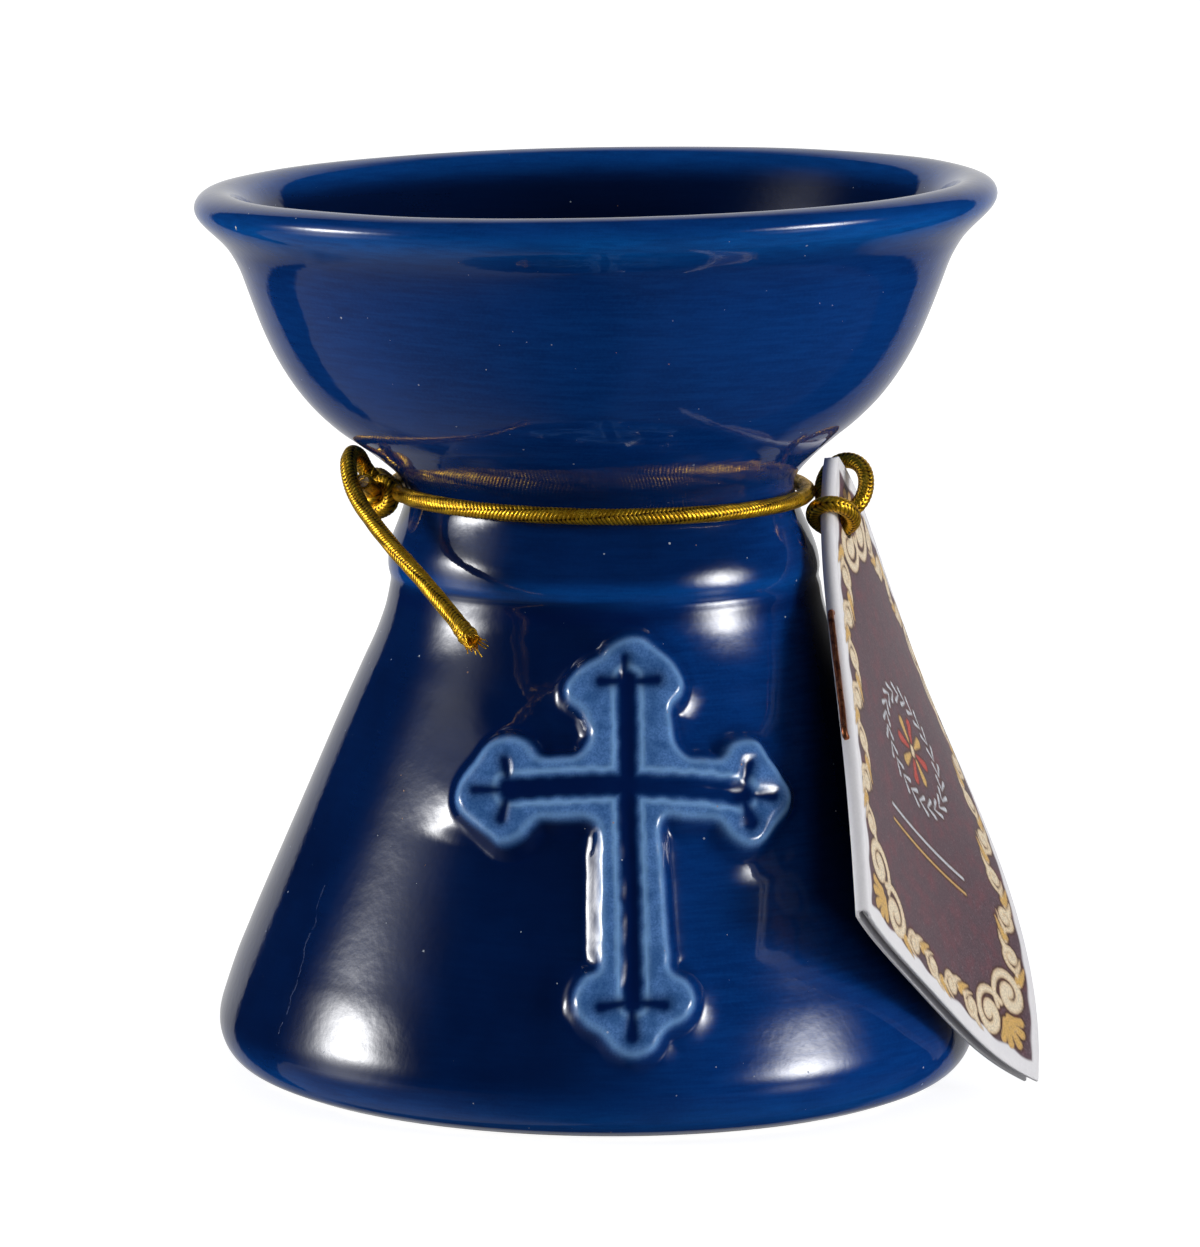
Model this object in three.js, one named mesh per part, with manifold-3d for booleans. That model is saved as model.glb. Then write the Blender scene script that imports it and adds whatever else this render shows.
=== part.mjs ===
// Glazed ceramic incense burner with a corded paper tag. Millimetres, +Z up, front towards -Y.
import * as THREE from "three";
import { mergeVertices } from "three/addons/utils/BufferGeometryUtils.js";
import Module from "manifold-3d";

const wasm = await Module();
wasm.setup();

// ---------- driving dimensions (mm) ----------
const SEGMENTS = 72; // facets round the turned body
const CORD_D = 1.5; // elastic cord
const GAP = 0.3; // clearance between touching pieces
const NECK = { x: 0.72, z: 52.5, r: 18.4 }; // centre line of the cord round the neck
const RELIEF = { under: 0.3, step: 1.2, top: 1.75, spread: 0.5, groove: 0.75, grooveV: 0.85, grooveH: 0.95, petal: 0.62 }; // cross: heights over the cone, half widths
const PAPER_T = 0.3;
const LAYERS = { front: [-0.24, 0], leaf: [-0.75, -0.54], back: [-1.3, -1.05] }; // depths under the tag's outer face
const HOLE = { s: 5.4, t: 4.1, r: 2.4 }; // cord hole: from the top edge, from the fold, radius
const STAPLE = { from: 16.6, crown: 12.9, wire: 0.6, leg: 2.6 };

// outer profile of the burner, radius and height, foot to rim
const OUTER = [
  [28.6, 0], [30.3, 0.4], [32.5, 1.3], [33.5, 2.5], [34.0, 4.0], [33.95, 5.5], [33.35, 7.5], [32.35, 10.7], [30.5, 15.2],
  [28.65, 19.7], [26.8, 24.2], [25.0, 28.7], [23.3, 33.1], [21.35, 37.6], [20.34, 39.8], [19.75, 41.5], [19.4, 43.0],
  [19.22, 44.2], [19.0, 44.8], [19.25, 45.4], [19.2, 46.4], [18.95, 47.6], [18.5, 48.7], [18.0, 49.8], [17.55, 51.0],
  [17.35, 52.2], [17.4, 53.2], [17.9, 54.2], [19.0, 55.3], [20.3, 56.4], [22.15, 57.8], [24.3, 59.3], [26.7, 62.1],
  [28.6, 65.3], [29.9, 68.4], [30.93, 71.6], [31.65, 73.3], [32.6, 74.9], [33.6, 75.9], [34.6, 76.8], [35.35, 77.6],
  [35.65, 78.4], [35.3, 79.25], [34.5, 79.8], [33.4, 80.0],
];
// inside of the bowl, rim to floor, and the hollow of the base, foot to roof
const BOWL = [
  [32.3, 79.8], [31.4, 79.2], [30.8, 78.2], [30.1, 76.8], [29.2, 74.9], [28.2, 72.4], [27.3, 69.4], [26.2, 66.6],
  [24.4, 63.6], [21.7, 60.5], [18.6, 58.0], [15.0, 55.9], [10.5, 54.3], [5.5, 53.4],
];
const BASE = [
  [25.2, 0], [26.0, 1.4], [27.7, 4.2], [27.9, 7.2], [26.9, 11.0], [24.6, 17.0], [22.0, 23.5], [19.5, 30.0], [17.2, 35.5],
  [15.3, 40.5], [13.2, 44.0], [9.5, 46.3], [4.8, 47.3],
];
// the thrown axis wanders: sideways offset, and rise per mm to the right, against height
const AXIS_Z = [0, 44, 48, 52, 58, 68, 80];
const AXIS_X = [0.9, 1.25, 0.9, 0.72, 0.1, 0, 0];
const TILT_Z = [0, 44, 58, 80];
const TILT = [0, 0.0155, 0.02, 0.03];

// tag: bent sheet over a plane, heights (mm) at 5 x 5 stations, rows down the fold, columns away from it
const TAG = {
  S0: new THREE.Vector3(21.6, -1.5, 55.9),
  S1: new THREE.Vector3(24.066, -33.0, 20.574),
  W: new THREE.Vector3(0.39141, 0.70023, -0.59706),
  n: new THREE.Vector3(0.91874, -0.26068, 0.29657),
  width: 33.9,
  h: [
    [0.1, -0.75, -2.3, -3.85, -5.45],
    [-0.8, -0.95, -1.4, -1.74, -2.16],
    [-0.39, -0.61, -0.52, 0.08, 1.07],
    [-0.01, -0.23, 0.04, 1.06, 3.16],
    [0.0, -0.03, 0.4, 0.96, 3.03],
  ],
};
TAG.length = TAG.S0.distanceTo(TAG.S1);

// ---------- colours ----------
const paint = (color, roughness, metalness = 0) =>
  new THREE.MeshStandardMaterial({ color, roughness, metalness });
const GLAZE = paint(0x0c2464, 0.06);
const GLAZE_THIN = paint(0x2c5794, 0.1);
const GOLD = paint(0xb98a1e, 0.35, 0.9);
const PAPER = paint(0xe6e4e6, 0.75);
const PRINT = paint(0x4a343c, 0.6);
const COPPER = paint(0x7c3520, 0.35, 0.9);

// ---------- helpers ----------
function lerp(z, zs, vs) {
  if (z <= zs[0]) return vs[0];
  for (let i = 1; i < zs.length; i++)
    if (z <= zs[i]) return vs[i - 1] + ((vs[i] - vs[i - 1]) * (z - zs[i - 1])) / (zs[i] - zs[i - 1]);
  return vs[vs.length - 1];
}
function radiusAt(z) {
  return lerp(z, OUTER.map((p) => p[1]), OUTER.map((p) => p[0]));
}
function warp(geometry, f) {
  const p = geometry.attributes.position;
  const v = new THREE.Vector3();
  for (let i = 0; i < p.count; i++) {
    v.fromBufferAttribute(p, i);
    f(v);
    p.setXYZ(i, v.x, v.y, v.z);
  }
  return geometry;
}
function offAxis(v) {
  const z = v.z;
  v.z += lerp(z, TILT_Z, TILT) * v.x;
  v.x += lerp(z, AXIS_Z, AXIS_X);
}
function turned(points, segments) {
  const g = new THREE.LatheGeometry(points.map(([r, z]) => new THREE.Vector2(r, z)), segments);
  g.rotateX(Math.PI / 2);
  return warp(g, offAxis);
}
function toSolid(geometry) {
  const g = geometry.clone();
  g.deleteAttribute("normal");
  g.deleteAttribute("uv");
  const m = mergeVertices(g, 1e-4);
  const position = new Float32Array(m.attributes.position.array);
  const source = m.index.array;
  const tri = [];
  for (let i = 0; i < source.length; i += 3) {
    const [a, b, c] = [source[i], source[i + 1], source[i + 2]];
    if (a !== b && b !== c && c !== a) tri.push(a, b, c);
  }
  const make = (t) => new wasm.Manifold(new wasm.Mesh({ numProp: 3, vertProperties: position, triVerts: new Uint32Array(t) }));
  const solid = make(tri);
  if (solid.volume() >= 0) return solid;
  for (let i = 0; i < tri.length; i += 3) [tri[i + 1], tri[i + 2]] = [tri[i + 2], tri[i + 1]];
  return make(tri);
}
function toGeometry(solid) {
  const m = solid.getMesh();
  const v = new Float32Array(m.numVert * 3);
  for (let i = 0; i < m.numVert; i++) v.set(m.vertProperties.subarray(i * m.numProp, i * m.numProp + 3), i * 3);
  const g = new THREE.BufferGeometry();
  g.setAttribute("position", new THREE.BufferAttribute(v, 3));
  g.setIndex(new THREE.BufferAttribute(new Uint32Array(m.triVerts), 1));
  g.computeVertexNormals();
  return g;
}
function mesh(name, solid, material) {
  const m = new THREE.Mesh(toGeometry(solid), material);
  m.name = name;
  return m;
}
function tube(points, d, steps, sides = 8) {
  const path = new THREE.CatmullRomCurve3(points, false, "centripetal");
  const ring = new THREE.Shape();
  for (let i = 0; i < sides; i++) {
    const a = (i / sides) * 2 * Math.PI;
    if (i) ring.lineTo((d / 2) * Math.cos(a), (d / 2) * Math.sin(a));
    else ring.moveTo(d / 2, 0);
  }
  ring.closePath();
  return toSolid(new THREE.ExtrudeGeometry(ring, { steps, bevelEnabled: false, extrudePath: path }));
}
// polynomial through five even stations
const L5 = (x, j) => {
  let v = 1;
  for (let k = 0; k < 5; k++) if (k !== j) v *= (x - k / 4) / ((j - k) / 4);
  return v;
};
function tagHeight(s, t) {
  let h = 0;
  for (let i = 0; i < 5; i++) for (let j = 0; j < 5; j++) h += TAG.h[i][j] * L5(s, i) * L5(t, j);
  return h;
}
function tagPoint(s, t, off = 0) {
  // s, t in mm down the fold and away from it; off along the sheet's own normal
  const at = (a, b) => {
    const ca = Math.min(Math.max(a / TAG.length, 0), 1);
    const cb = Math.min(Math.max(b / TAG.width, 0), 1);
    return TAG.S0.clone()
      .add(TAG.S1.clone().sub(TAG.S0).multiplyScalar(a / TAG.length))
      .addScaledVector(TAG.W, b)
      .addScaledVector(TAG.n, tagHeight(ca, cb));
  };
  const e = 0.05;
  const sc = Math.min(Math.max(s, e), TAG.length - e);
  const tc = Math.min(Math.max(t, e), TAG.width - e);
  const ds = at(sc + e, tc).sub(at(sc - e, tc));
  const dt = at(sc, tc + e).sub(at(sc, tc - e));
  const n = ds.cross(dt).normalize();
  return at(s, t).addScaledVector(n, off);
}
function sheet(s0, s1, t0, t1, lo, hi, ns, nt) {
  const g = new THREE.BoxGeometry(1, 1, 1, nt, 1, ns);
  return toSolid(
    warp(g, (v) => {
      const p = tagPoint(s0 + (s1 - s0) * (v.z + 0.5), t0 + (t1 - t0) * (v.x + 0.5), lo + (hi - lo) * (v.y + 0.5));
      v.copy(p);
    }),
  );
}
function rod(a, b, r, sides = 20) {
  const g = new THREE.CylinderGeometry(r, r, a.distanceTo(b), sides);
  const q = new THREE.Quaternion().setFromUnitVectors(new THREE.Vector3(0, 1, 0), b.clone().sub(a).normalize());
  g.applyQuaternion(q);
  const c = a.clone().add(b).multiplyScalar(0.5);
  g.translate(c.x, c.y, c.z);
  return toSolid(g);
}

// ---------- burner body ----------
const profile = [[0, 53.1], ...[...BOWL].reverse(), ...[...OUTER].reverse(), ...BASE, [0, 47.6]];
const bodySolid = toSolid(turned(profile, SEGMENTS));

// ---------- cross relief ----------
// outline of its flat top, and the line down each groove, seen from the front: X and Z
const OUTLINE = [
  [3.2, 42.4], [4.47, 42.34], [5.87, 41.38], [7.28, 40.13], [8.11, 38.55], [7.5, 37.05], [7.08, 36.1], [7.12, 35.37],
  [7.46, 33.69], [8.49, 32.57], [9.88, 32.35], [11.41, 32.31], [12.04, 33.23], [13.19, 33.69], [14.6, 33.38],
  [15.63, 31.97], [16.67, 30.43], [17.53, 28.91], [17.38, 27.63], [16.3, 26.44], [15.15, 25.17], [13.88, 24.87],
  [12.22, 25.77], [11.06, 27.08], [9.92, 27.28], [8.15, 27.45], [6.76, 27.68], [6.3, 27.02], [6.41, 24.64], [6.64, 21.8],
  [6.84, 18.95], [7.11, 16.59], [7.25, 15.29], [8.76, 14.23], [9.35, 12.75], [8.66, 11.36], [6.79, 10.35], [5.93, 8.93],
  [4.81, 8.31], [3.56, 8.22], [2.3, 8.89], [1.29, 10.03], [-0.09, 10.85], [-1.11, 12.24], [-0.95, 13.65], [-0.14, 14.85],
  [0.93, 15.34], [0.98, 17.57], [0.94, 20.88], [0.9, 24.19], [0.72, 26.93], [-0.17, 27.46], [-2.43, 27.4],
  [-4.32, 27.28], [-4.95, 26.75], [-5.94, 25.67], [-7.7, 25.14], [-8.6, 25.69], [-9.63, 26.44], [-11.18, 27.49],
  [-11.58, 28.4], [-11.22, 29.98], [-10.09, 31.52], [-8.72, 33.31], [-7.2, 33.97], [-5.55, 33.71], [-4.39, 32.56],
  [-2.75, 32.5], [-0.86, 32.87], [0.01, 34.21], [-0.31, 35.52], [-0.77, 36.29], [-1.92, 37.14], [-2.16, 38.08],
  [-1.57, 39.17], [-0.32, 40.17], [0.82, 40.79], [1.82, 41.78],
];
const GROOVE_V = [[3.17, 38.81], [3.29, 34.15], [3.34, 29.36], [3.52, 24.59], [3.74, 19.85], [3.86, 15.6], [3.96, 12.77]];
const GROOVE_H = [[-6.89, 29.65], [-2.72, 30.07], [1.31, 30.31], [3.33, 30.32], [6.36, 30.16], [9.91, 29.79], [13.22, 29.18]];
const PETALS = [
  [2.94, 38.81, 2.92, 40.66], [2.94, 38.81, 0.91, 38.72], [3.37, 38.73, 5.72, 38.83], [-6.89, 29.65, -7.26, 31.94],
  [-6.89, 29.65, -9.87, 29.37], [-6.89, 29.65, -7.54, 27.2], [13.22, 29.18, 13.77, 31.57], [13.22, 29.18, 15.87, 28.75],
  [13.22, 29.18, 13.95, 26.79], [3.89, 12.77, 1.14, 12.3], [3.89, 12.77, 6.65, 12.44], [3.89, 12.77, 3.92, 9.94],
];
function grown(points, by) {
  // moves each corner out along the mean of its two edges' normals; the outline runs clockwise
  return points.map(([x, z], i) => {
    const [px, pz] = points[(i + points.length - 1) % points.length];
    const [nx, nz] = points[(i + 1) % points.length];
    const d = Math.hypot(nx - px, nz - pz);
    return [x - (by * (nz - pz)) / d, z + (by * (nx - px)) / d];
  });
}
function ribbon(line, half) {
  const side = (sign) =>
    line.map(([x, z], i) => {
      const [px, pz] = line[Math.max(i - 1, 0)];
      const [nx, nz] = line[Math.min(i + 1, line.length - 1)];
      const d = Math.hypot(nx - px, nz - pz);
      return [x - (sign * half * (nz - pz)) / d, z + (sign * half * (nx - px)) / d];
    });
  return [...side(1), ...side(-1).reverse()];
}
function petal(x0, z0, x1, z1, half) {
  const l = Math.hypot(x1 - x0, z1 - z0);
  const [ux, uz] = [(x1 - x0) / l, (z1 - z0) / l];
  return Array.from({ length: 10 }, (_, i) => {
    const a = (i / 10) * 2 * Math.PI;
    const u = (l / 2 + 0.2) * (1 + Math.cos(a)) - 0.3;
    const v = half * Math.sin(a);
    return [x0 + u * ux - v * uz, z0 + u * uz + v * ux];
  });
}
function prism(points) {
  const g = new THREE.ExtrudeGeometry(new THREE.Shape(points.map(([x, z]) => new THREE.Vector2(x, z))), {
    depth: 40,
    bevelEnabled: false,
  });
  g.rotateX(Math.PI / 2); // drawn in X and Z, extruded to the front
  g.translate(0, -8, 0);
  return toSolid(g);
}
function shell(lo, hi) {
  const zs = [];
  for (let z = 5; z <= 45; z += 2.0) zs.push(z);
  const out = zs.map((z) => [radiusAt(z) + hi, z]);
  const inn = zs.map((z) => [radiusAt(z) + lo, z]).reverse();
  return toSolid(turned([...out, ...inn, out[0]], 96));
}
let relief = prism(grown(OUTLINE, RELIEF.spread)).intersect(shell(RELIEF.under, RELIEF.step));
relief = relief.add(prism(OUTLINE).intersect(shell(RELIEF.step - 0.02, RELIEF.top)));
let grooves = prism(ribbon(GROOVE_V, RELIEF.grooveV)).add(prism(ribbon(GROOVE_H, RELIEF.grooveH)));
for (const [x0, z0, x1, z1] of PETALS) grooves = grooves.add(prism(petal(x0, z0, x1, z1, RELIEF.petal)));
relief = relief.subtract(grooves.intersect(shell(RELIEF.top - RELIEF.groove, RELIEF.top + 2)));

// ---------- cord ----------
const neckPoint = (deg, dr = 0, dz = 0) => {
  const a = (deg * Math.PI) / 180;
  return new THREE.Vector3(NECK.x + (NECK.r + dr) * Math.cos(a), (NECK.r + dr) * Math.sin(a), NECK.z + dz);
};
const arc = (from, to, n) => Array.from({ length: n }, (_, i) => neckPoint(from + ((to - from) * i) / (n - 1)));
const strandFront = tube(arc(-166.6, -21.6, 25), CORD_D, 40);
const strandBack = tube(arc(-20.6, 178.0, 31), CORD_D, 46);

// knot: a lumpy overhand knot left of the neck
const KNOT = new THREE.Vector3(-19.0, -2.1, 52.1);
const knot = toSolid(
  warp(new THREE.IcosahedronGeometry(1, 5), (v) => {
    const a = Math.atan2(v.z, v.y);
    const k = 1 + 0.07 * Math.cos(3 * a + 2.2 * v.x) + 0.05 * Math.cos(5 * v.x - a);
    v.set(v.x * 1.8 * k, v.y * 2.45 * k, v.z * 2.15 * k).add(KNOT);
  }),
);
const P = (x, y, z) => new THREE.Vector3(x, y, z);
const TAIL = [P(-20.12, -2.82, 54.38), P(-20.75, -3.6, 55.6), P(-21.4, -4.6, 56.0), P(-21.9, -5.8, 55.55), P(-21.95, -7.2, 54.3), P(-21.4, -9.2, 52.6),
  P(-20.2, -12.2, 50.9), P(-18.3, -15.6, 49.1), P(-16.3, -18.6, 47.7), P(-14.0, -21.6, 46.1), P(-12.0, -24.2, 44.7), P(-10.5, -26.2, 43.4)];
const SHORT = [P(-19.62, -4.6, 52.97), P(-20.0, -6.4, 53.6), P(-20.15, -7.8, 53.95)];
const tailLong = tube(TAIL, CORD_D, 26);
const tailShort = tube(SHORT, CORD_D, 4);

// hitch through the tag's hole: one turn round the fold, one over the top edge
const MID = (LAYERS.front[1] + LAYERS.back[0]) / 2;
function loop(centre, u, ru, v, rv, startDeg) {
  const pts = [];
  const n = 22;
  const gapDeg = (GAP / ((ru + rv) / 2)) * (180 / Math.PI);
  for (let i = 0; i <= n; i++) {
    const a = ((startDeg + (i / n) * (360 - gapDeg)) * Math.PI) / 180;
    pts.push(centre.clone().addScaledVector(u, ru * Math.cos(a)).addScaledVector(v, rv * Math.sin(a)));
  }
  return tube(pts, CORD_D, 34);
}
const S = tagPoint(HOLE.s + 1, HOLE.t).sub(tagPoint(HOLE.s - 1, HOLE.t)).normalize();
const N = tagPoint(HOLE.s, HOLE.t, 1).sub(tagPoint(HOLE.s, HOLE.t)).normalize();
const W = N.clone().cross(S).normalize();
const foldAt = tagPoint(HOLE.s + 0.92, HOLE.t, MID).addScaledVector(W, -2.8).addScaledVector(N, 0.26);
const round = loop(foldAt, W, 2.8, N, 2.15, 200);
const edgeAt = tagPoint(HOLE.s - 0.92, HOLE.t, MID).addScaledVector(S, -(HOLE.s - 0.92 + 1.7) / 2).addScaledVector(N, 0.34);
const over = loop(edgeAt, S, (HOLE.s - 0.92 + 1.7) / 2, N, 2.15, 200);

// ---------- tag ----------
const drill = rod(tagPoint(HOLE.s, HOLE.t, 3), tagPoint(HOLE.s, HOLE.t, -4), HOLE.r, 24);
const legAt = (s) => rod(tagPoint(s, 0.1, MID).addScaledVector(TAG.W, -1.6), tagPoint(s, 0.1, MID).addScaledVector(TAG.W, STAPLE.leg + 0.3), STAPLE.wire / 2 + GAP, 16);
const legs = legAt(STAPLE.from).add(legAt(STAPLE.from + STAPLE.crown));
const L = TAG.length;
const coverFront = sheet(0, L, 0, TAG.width, ...LAYERS.front, 24, 14)
  .add(sheet(0, L, -PAPER_T, 0.25, -0.5, 0, 24, 1))
  .subtract(drill)
  .subtract(legs);
const coverBack = sheet(0.5, L - 0.2, 0, TAG.width - 0.4, ...LAYERS.back, 22, 12)
  .add(sheet(0.5, L - 0.2, -PAPER_T * 0.5, 0.25, -1.3, -0.8, 22, 1))
  .subtract(drill)
  .subtract(legs);
const leaf = sheet(0.7, L - 0.7, 0.7, TAG.width - 1.0, ...LAYERS.leaf, 22, 12).subtract(drill).subtract(legs);

const c0 = tagPoint(STAPLE.from, 0.1, MID);
const c1 = tagPoint(STAPLE.from + STAPLE.crown, 0.1, MID);
const out = -1.0;
const bend = 0.25;
const along = c1.clone().sub(c0).normalize();
const corner = (c, dir) => [
  c.clone().addScaledVector(TAG.W, STAPLE.leg),
  c.clone().addScaledVector(TAG.W, STAPLE.leg * 0.5),
  c.clone().addScaledVector(TAG.W, out + bend * 1.6),
  c.clone().addScaledVector(TAG.W, out + bend * 0.4).addScaledVector(along, dir * bend * 0.4),
  c.clone().addScaledVector(TAG.W, out).addScaledVector(along, dir * bend * 1.6),
];
const stapleSolid = tube([...corner(c0, 1), ...corner(c1, -1).reverse()], STAPLE.wire, 44);

// ---------- scene graph ----------
const burner = new THREE.Group();
burner.name = "incense_burner";
const pieces = [
  ["ceramic_body", bodySolid, GLAZE],
  ["cross_relief", relief, GLAZE_THIN],
  ["cord_strand_front", strandFront, GOLD],
  ["cord_strand_back", strandBack, GOLD],
  ["cord_knot", knot, GOLD],
  ["cord_tail_long", tailLong, GOLD],
  ["cord_tail_short", tailShort, GOLD],
  ["cord_hitch_round", round, GOLD],
  ["cord_hitch_over", over, GOLD],
  ["tag_cover_front", coverFront, PRINT],
  ["tag_inner_leaf", leaf, PAPER],
  ["tag_cover_back", coverBack, PRINT],
  ["tag_staple", stapleSolid, COPPER],
];
for (const [name, solid, material] of pieces) burner.add(mesh(name, solid, material));

export default burner;
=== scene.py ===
import math

import bpy
import numpy as np
from mathutils import Matrix, Vector


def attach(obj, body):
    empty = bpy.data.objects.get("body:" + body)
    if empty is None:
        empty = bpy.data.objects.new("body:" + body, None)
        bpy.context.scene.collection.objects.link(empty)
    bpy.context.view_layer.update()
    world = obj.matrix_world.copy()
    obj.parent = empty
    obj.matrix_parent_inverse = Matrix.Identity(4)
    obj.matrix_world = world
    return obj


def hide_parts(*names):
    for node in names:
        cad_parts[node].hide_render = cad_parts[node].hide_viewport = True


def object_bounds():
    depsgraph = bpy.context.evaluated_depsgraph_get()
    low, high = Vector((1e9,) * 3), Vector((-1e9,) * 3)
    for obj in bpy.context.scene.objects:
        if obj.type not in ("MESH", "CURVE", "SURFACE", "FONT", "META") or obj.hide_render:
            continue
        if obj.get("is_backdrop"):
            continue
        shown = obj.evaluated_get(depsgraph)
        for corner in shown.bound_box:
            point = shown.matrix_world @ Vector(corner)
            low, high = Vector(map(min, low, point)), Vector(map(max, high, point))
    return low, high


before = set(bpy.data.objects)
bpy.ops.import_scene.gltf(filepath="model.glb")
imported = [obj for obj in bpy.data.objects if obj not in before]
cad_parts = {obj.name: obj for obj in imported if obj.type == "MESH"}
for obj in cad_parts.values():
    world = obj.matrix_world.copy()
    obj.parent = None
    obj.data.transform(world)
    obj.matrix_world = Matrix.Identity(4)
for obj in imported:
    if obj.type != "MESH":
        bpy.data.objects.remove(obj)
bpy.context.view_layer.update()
MM = 0.001

# =====================================================================
# camera: the photograph's point of view, image taken as 1200 x 1247
# =====================================================================
PITCH, ROLL = math.radians(8.83), math.radians(0.62)
look = Vector((0, math.cos(PITCH), -math.sin(PITCH)))
right = Vector((1, 0, 0))
up = Vector((0, math.sin(PITCH), math.cos(PITCH)))
cam_x = right * math.cos(ROLL) + up * math.sin(ROLL)
cam_y = up * math.cos(ROLL) - right * math.sin(ROLL)
cam_data = bpy.data.cameras.new("photo_camera")
cam = bpy.data.objects.new("photo_camera", cam_data)
bpy.context.scene.collection.objects.link(cam)
cam_data.sensor_fit = "HORIZONTAL"
cam_data.sensor_width = 36.0
cam_data.lens = 219.0
cam_data.clip_start, cam_data.clip_end = 0.01, 50.0
cam.matrix_world = Matrix(
    (
        (cam_x.x, cam_y.x, -look.x, 0.0008),
        (cam_x.y, cam_y.y, -look.y, -0.6437),
        (cam_x.z, cam_y.z, -look.z, 0.1403),
        (0, 0, 0, 1),
    )
)
bpy.context.scene.camera = cam
bpy.context.scene.view_settings.view_transform = "Standard"
bpy.context.scene.view_settings.look = "None"


# =====================================================================
# small geometry tools (all lengths in mm until a mesh is made)
# =====================================================================
def smooth(a, b, x):
    t = np.clip((x - a) / (b - a), 0.0, 1.0)
    return t * t * (3 - 2 * t)


def bumpy(p, seed, waves=7):
    """Soft pseudo-noise of about -1 to 1 from a few fixed waves; p in units of its wavelength."""
    rng = np.random.default_rng(seed)
    out = np.zeros(p.shape[:-1])
    for _ in range(waves):
        k = rng.normal(size=p.shape[-1])
        k *= rng.uniform(0.7, 1.5) / np.linalg.norm(k)
        out += np.sin(2 * np.pi * (p @ k) + rng.uniform(0, 6.28))
    return out / math.sqrt(waves / 2) / 1.6


def spline(points, step, closed=False):
    """Centripetal Catmull-Rom through points, resampled evenly. Returns the points and the length."""
    P = np.asarray(points, float)
    n = len(P)
    out = []
    for i in range(n if closed else n - 1):
        p1, p2 = P[i % n], P[(i + 1) % n]
        p0 = P[(i - 1) % n] if closed or i else 2 * P[0] - P[1]
        p3 = P[(i + 2) % n] if closed or i < n - 2 else 2 * P[-1] - P[-2]
        t0 = 0.0
        t1 = t0 + np.linalg.norm(p1 - p0) ** 0.5
        t2 = t1 + np.linalg.norm(p2 - p1) ** 0.5
        t3 = t2 + np.linalg.norm(p3 - p2) ** 0.5
        t = np.linspace(t1, t2, 32, endpoint=False)[:, None]
        A1 = (t1 - t) / (t1 - t0) * p0 + (t - t0) / (t1 - t0) * p1
        A2 = (t2 - t) / (t2 - t1) * p1 + (t - t1) / (t2 - t1) * p2
        A3 = (t3 - t) / (t3 - t2) * p2 + (t - t2) / (t3 - t2) * p3
        B1 = (t2 - t) / (t2 - t0) * A1 + (t - t0) / (t2 - t0) * A2
        B2 = (t3 - t) / (t3 - t1) * A2 + (t - t1) / (t3 - t1) * A3
        out.append((t2 - t) / (t2 - t1) * B1 + (t - t1) / (t2 - t1) * B2)
    out.append(P[:1] if closed else P[-1:])
    C = np.vstack(out)
    d = np.r_[0, np.cumsum(np.linalg.norm(np.diff(C, axis=0), axis=1))]
    m = max(3, int(round(d[-1] / step)) + 1)
    at = np.linspace(0, d[-1], m)
    return np.column_stack([np.interp(at, d, C[:, k]) for k in range(C.shape[1])]), d[-1]


def along(path):
    return np.r_[0, np.cumsum(np.linalg.norm(np.diff(path, axis=0), axis=1))]


def frames(path, first=(0.0, 0.0, 1.0)):
    """Twist-free frames along a path: tangent, normal, binormal."""
    T = np.gradient(path, axis=0)
    T /= np.linalg.norm(T, axis=1)[:, None]
    N = np.zeros_like(T)
    n = np.asarray(first, float)
    n = n - T[0] * (n @ T[0])
    if np.linalg.norm(n) < 1e-3:
        n = np.cross(T[0], (1.0, 0.0, 0.0))
    N[0] = n / np.linalg.norm(n)
    for i in range(1, len(path)):
        n = N[i - 1] - T[i] * (N[i - 1] @ T[i])
        N[i] = n / np.linalg.norm(n)
    return T, N, np.cross(T, N)


def make(name, verts, faces, materials, body, attrs=None, colors=None, face_material=None, flat=False):
    """A mesh object from points in mm, riding a body."""
    me = bpy.data.meshes.new(name)
    me.from_pydata((np.asarray(verts, float) * MM).tolist(), [], [tuple(int(i) for i in f) for f in faces])
    me.validate(clean_customdata=False)
    if not flat:
        me.polygons.foreach_set("use_smooth", np.ones(len(me.polygons), bool))
    for key, value in (attrs or {}).items():
        a = me.attributes.new(key, "FLOAT", "POINT")
        a.data.foreach_set("value", np.asarray(value, np.float32).ravel())
    for key, value in (colors or {}).items():
        a = me.attributes.new(key, "FLOAT_COLOR", "POINT")
        v = np.ones((len(me.vertices), 4), np.float32)
        v[:, :3] = value
        a.data.foreach_set("color", v.ravel())
    for m in materials if isinstance(materials, (list, tuple)) else [materials]:
        me.materials.append(m)
    if face_material is not None:
        me.polygons.foreach_set("material_index", np.asarray(face_material, np.int32))
    me.update()
    o = bpy.data.objects.new(name, me)
    bpy.context.scene.collection.objects.link(o)
    if body:
        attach(o, body)
    return o


def grid_faces(rows, cols, wrap, base=0):
    i = np.arange(rows - 1)[:, None]
    j = np.arange(cols if wrap else cols - 1)[None, :]
    a = i * cols + j
    b = i * cols + (j + 1) % cols
    return (base + np.stack([a, b, b + cols, a + cols], -1)).reshape(-1, 4)


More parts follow.
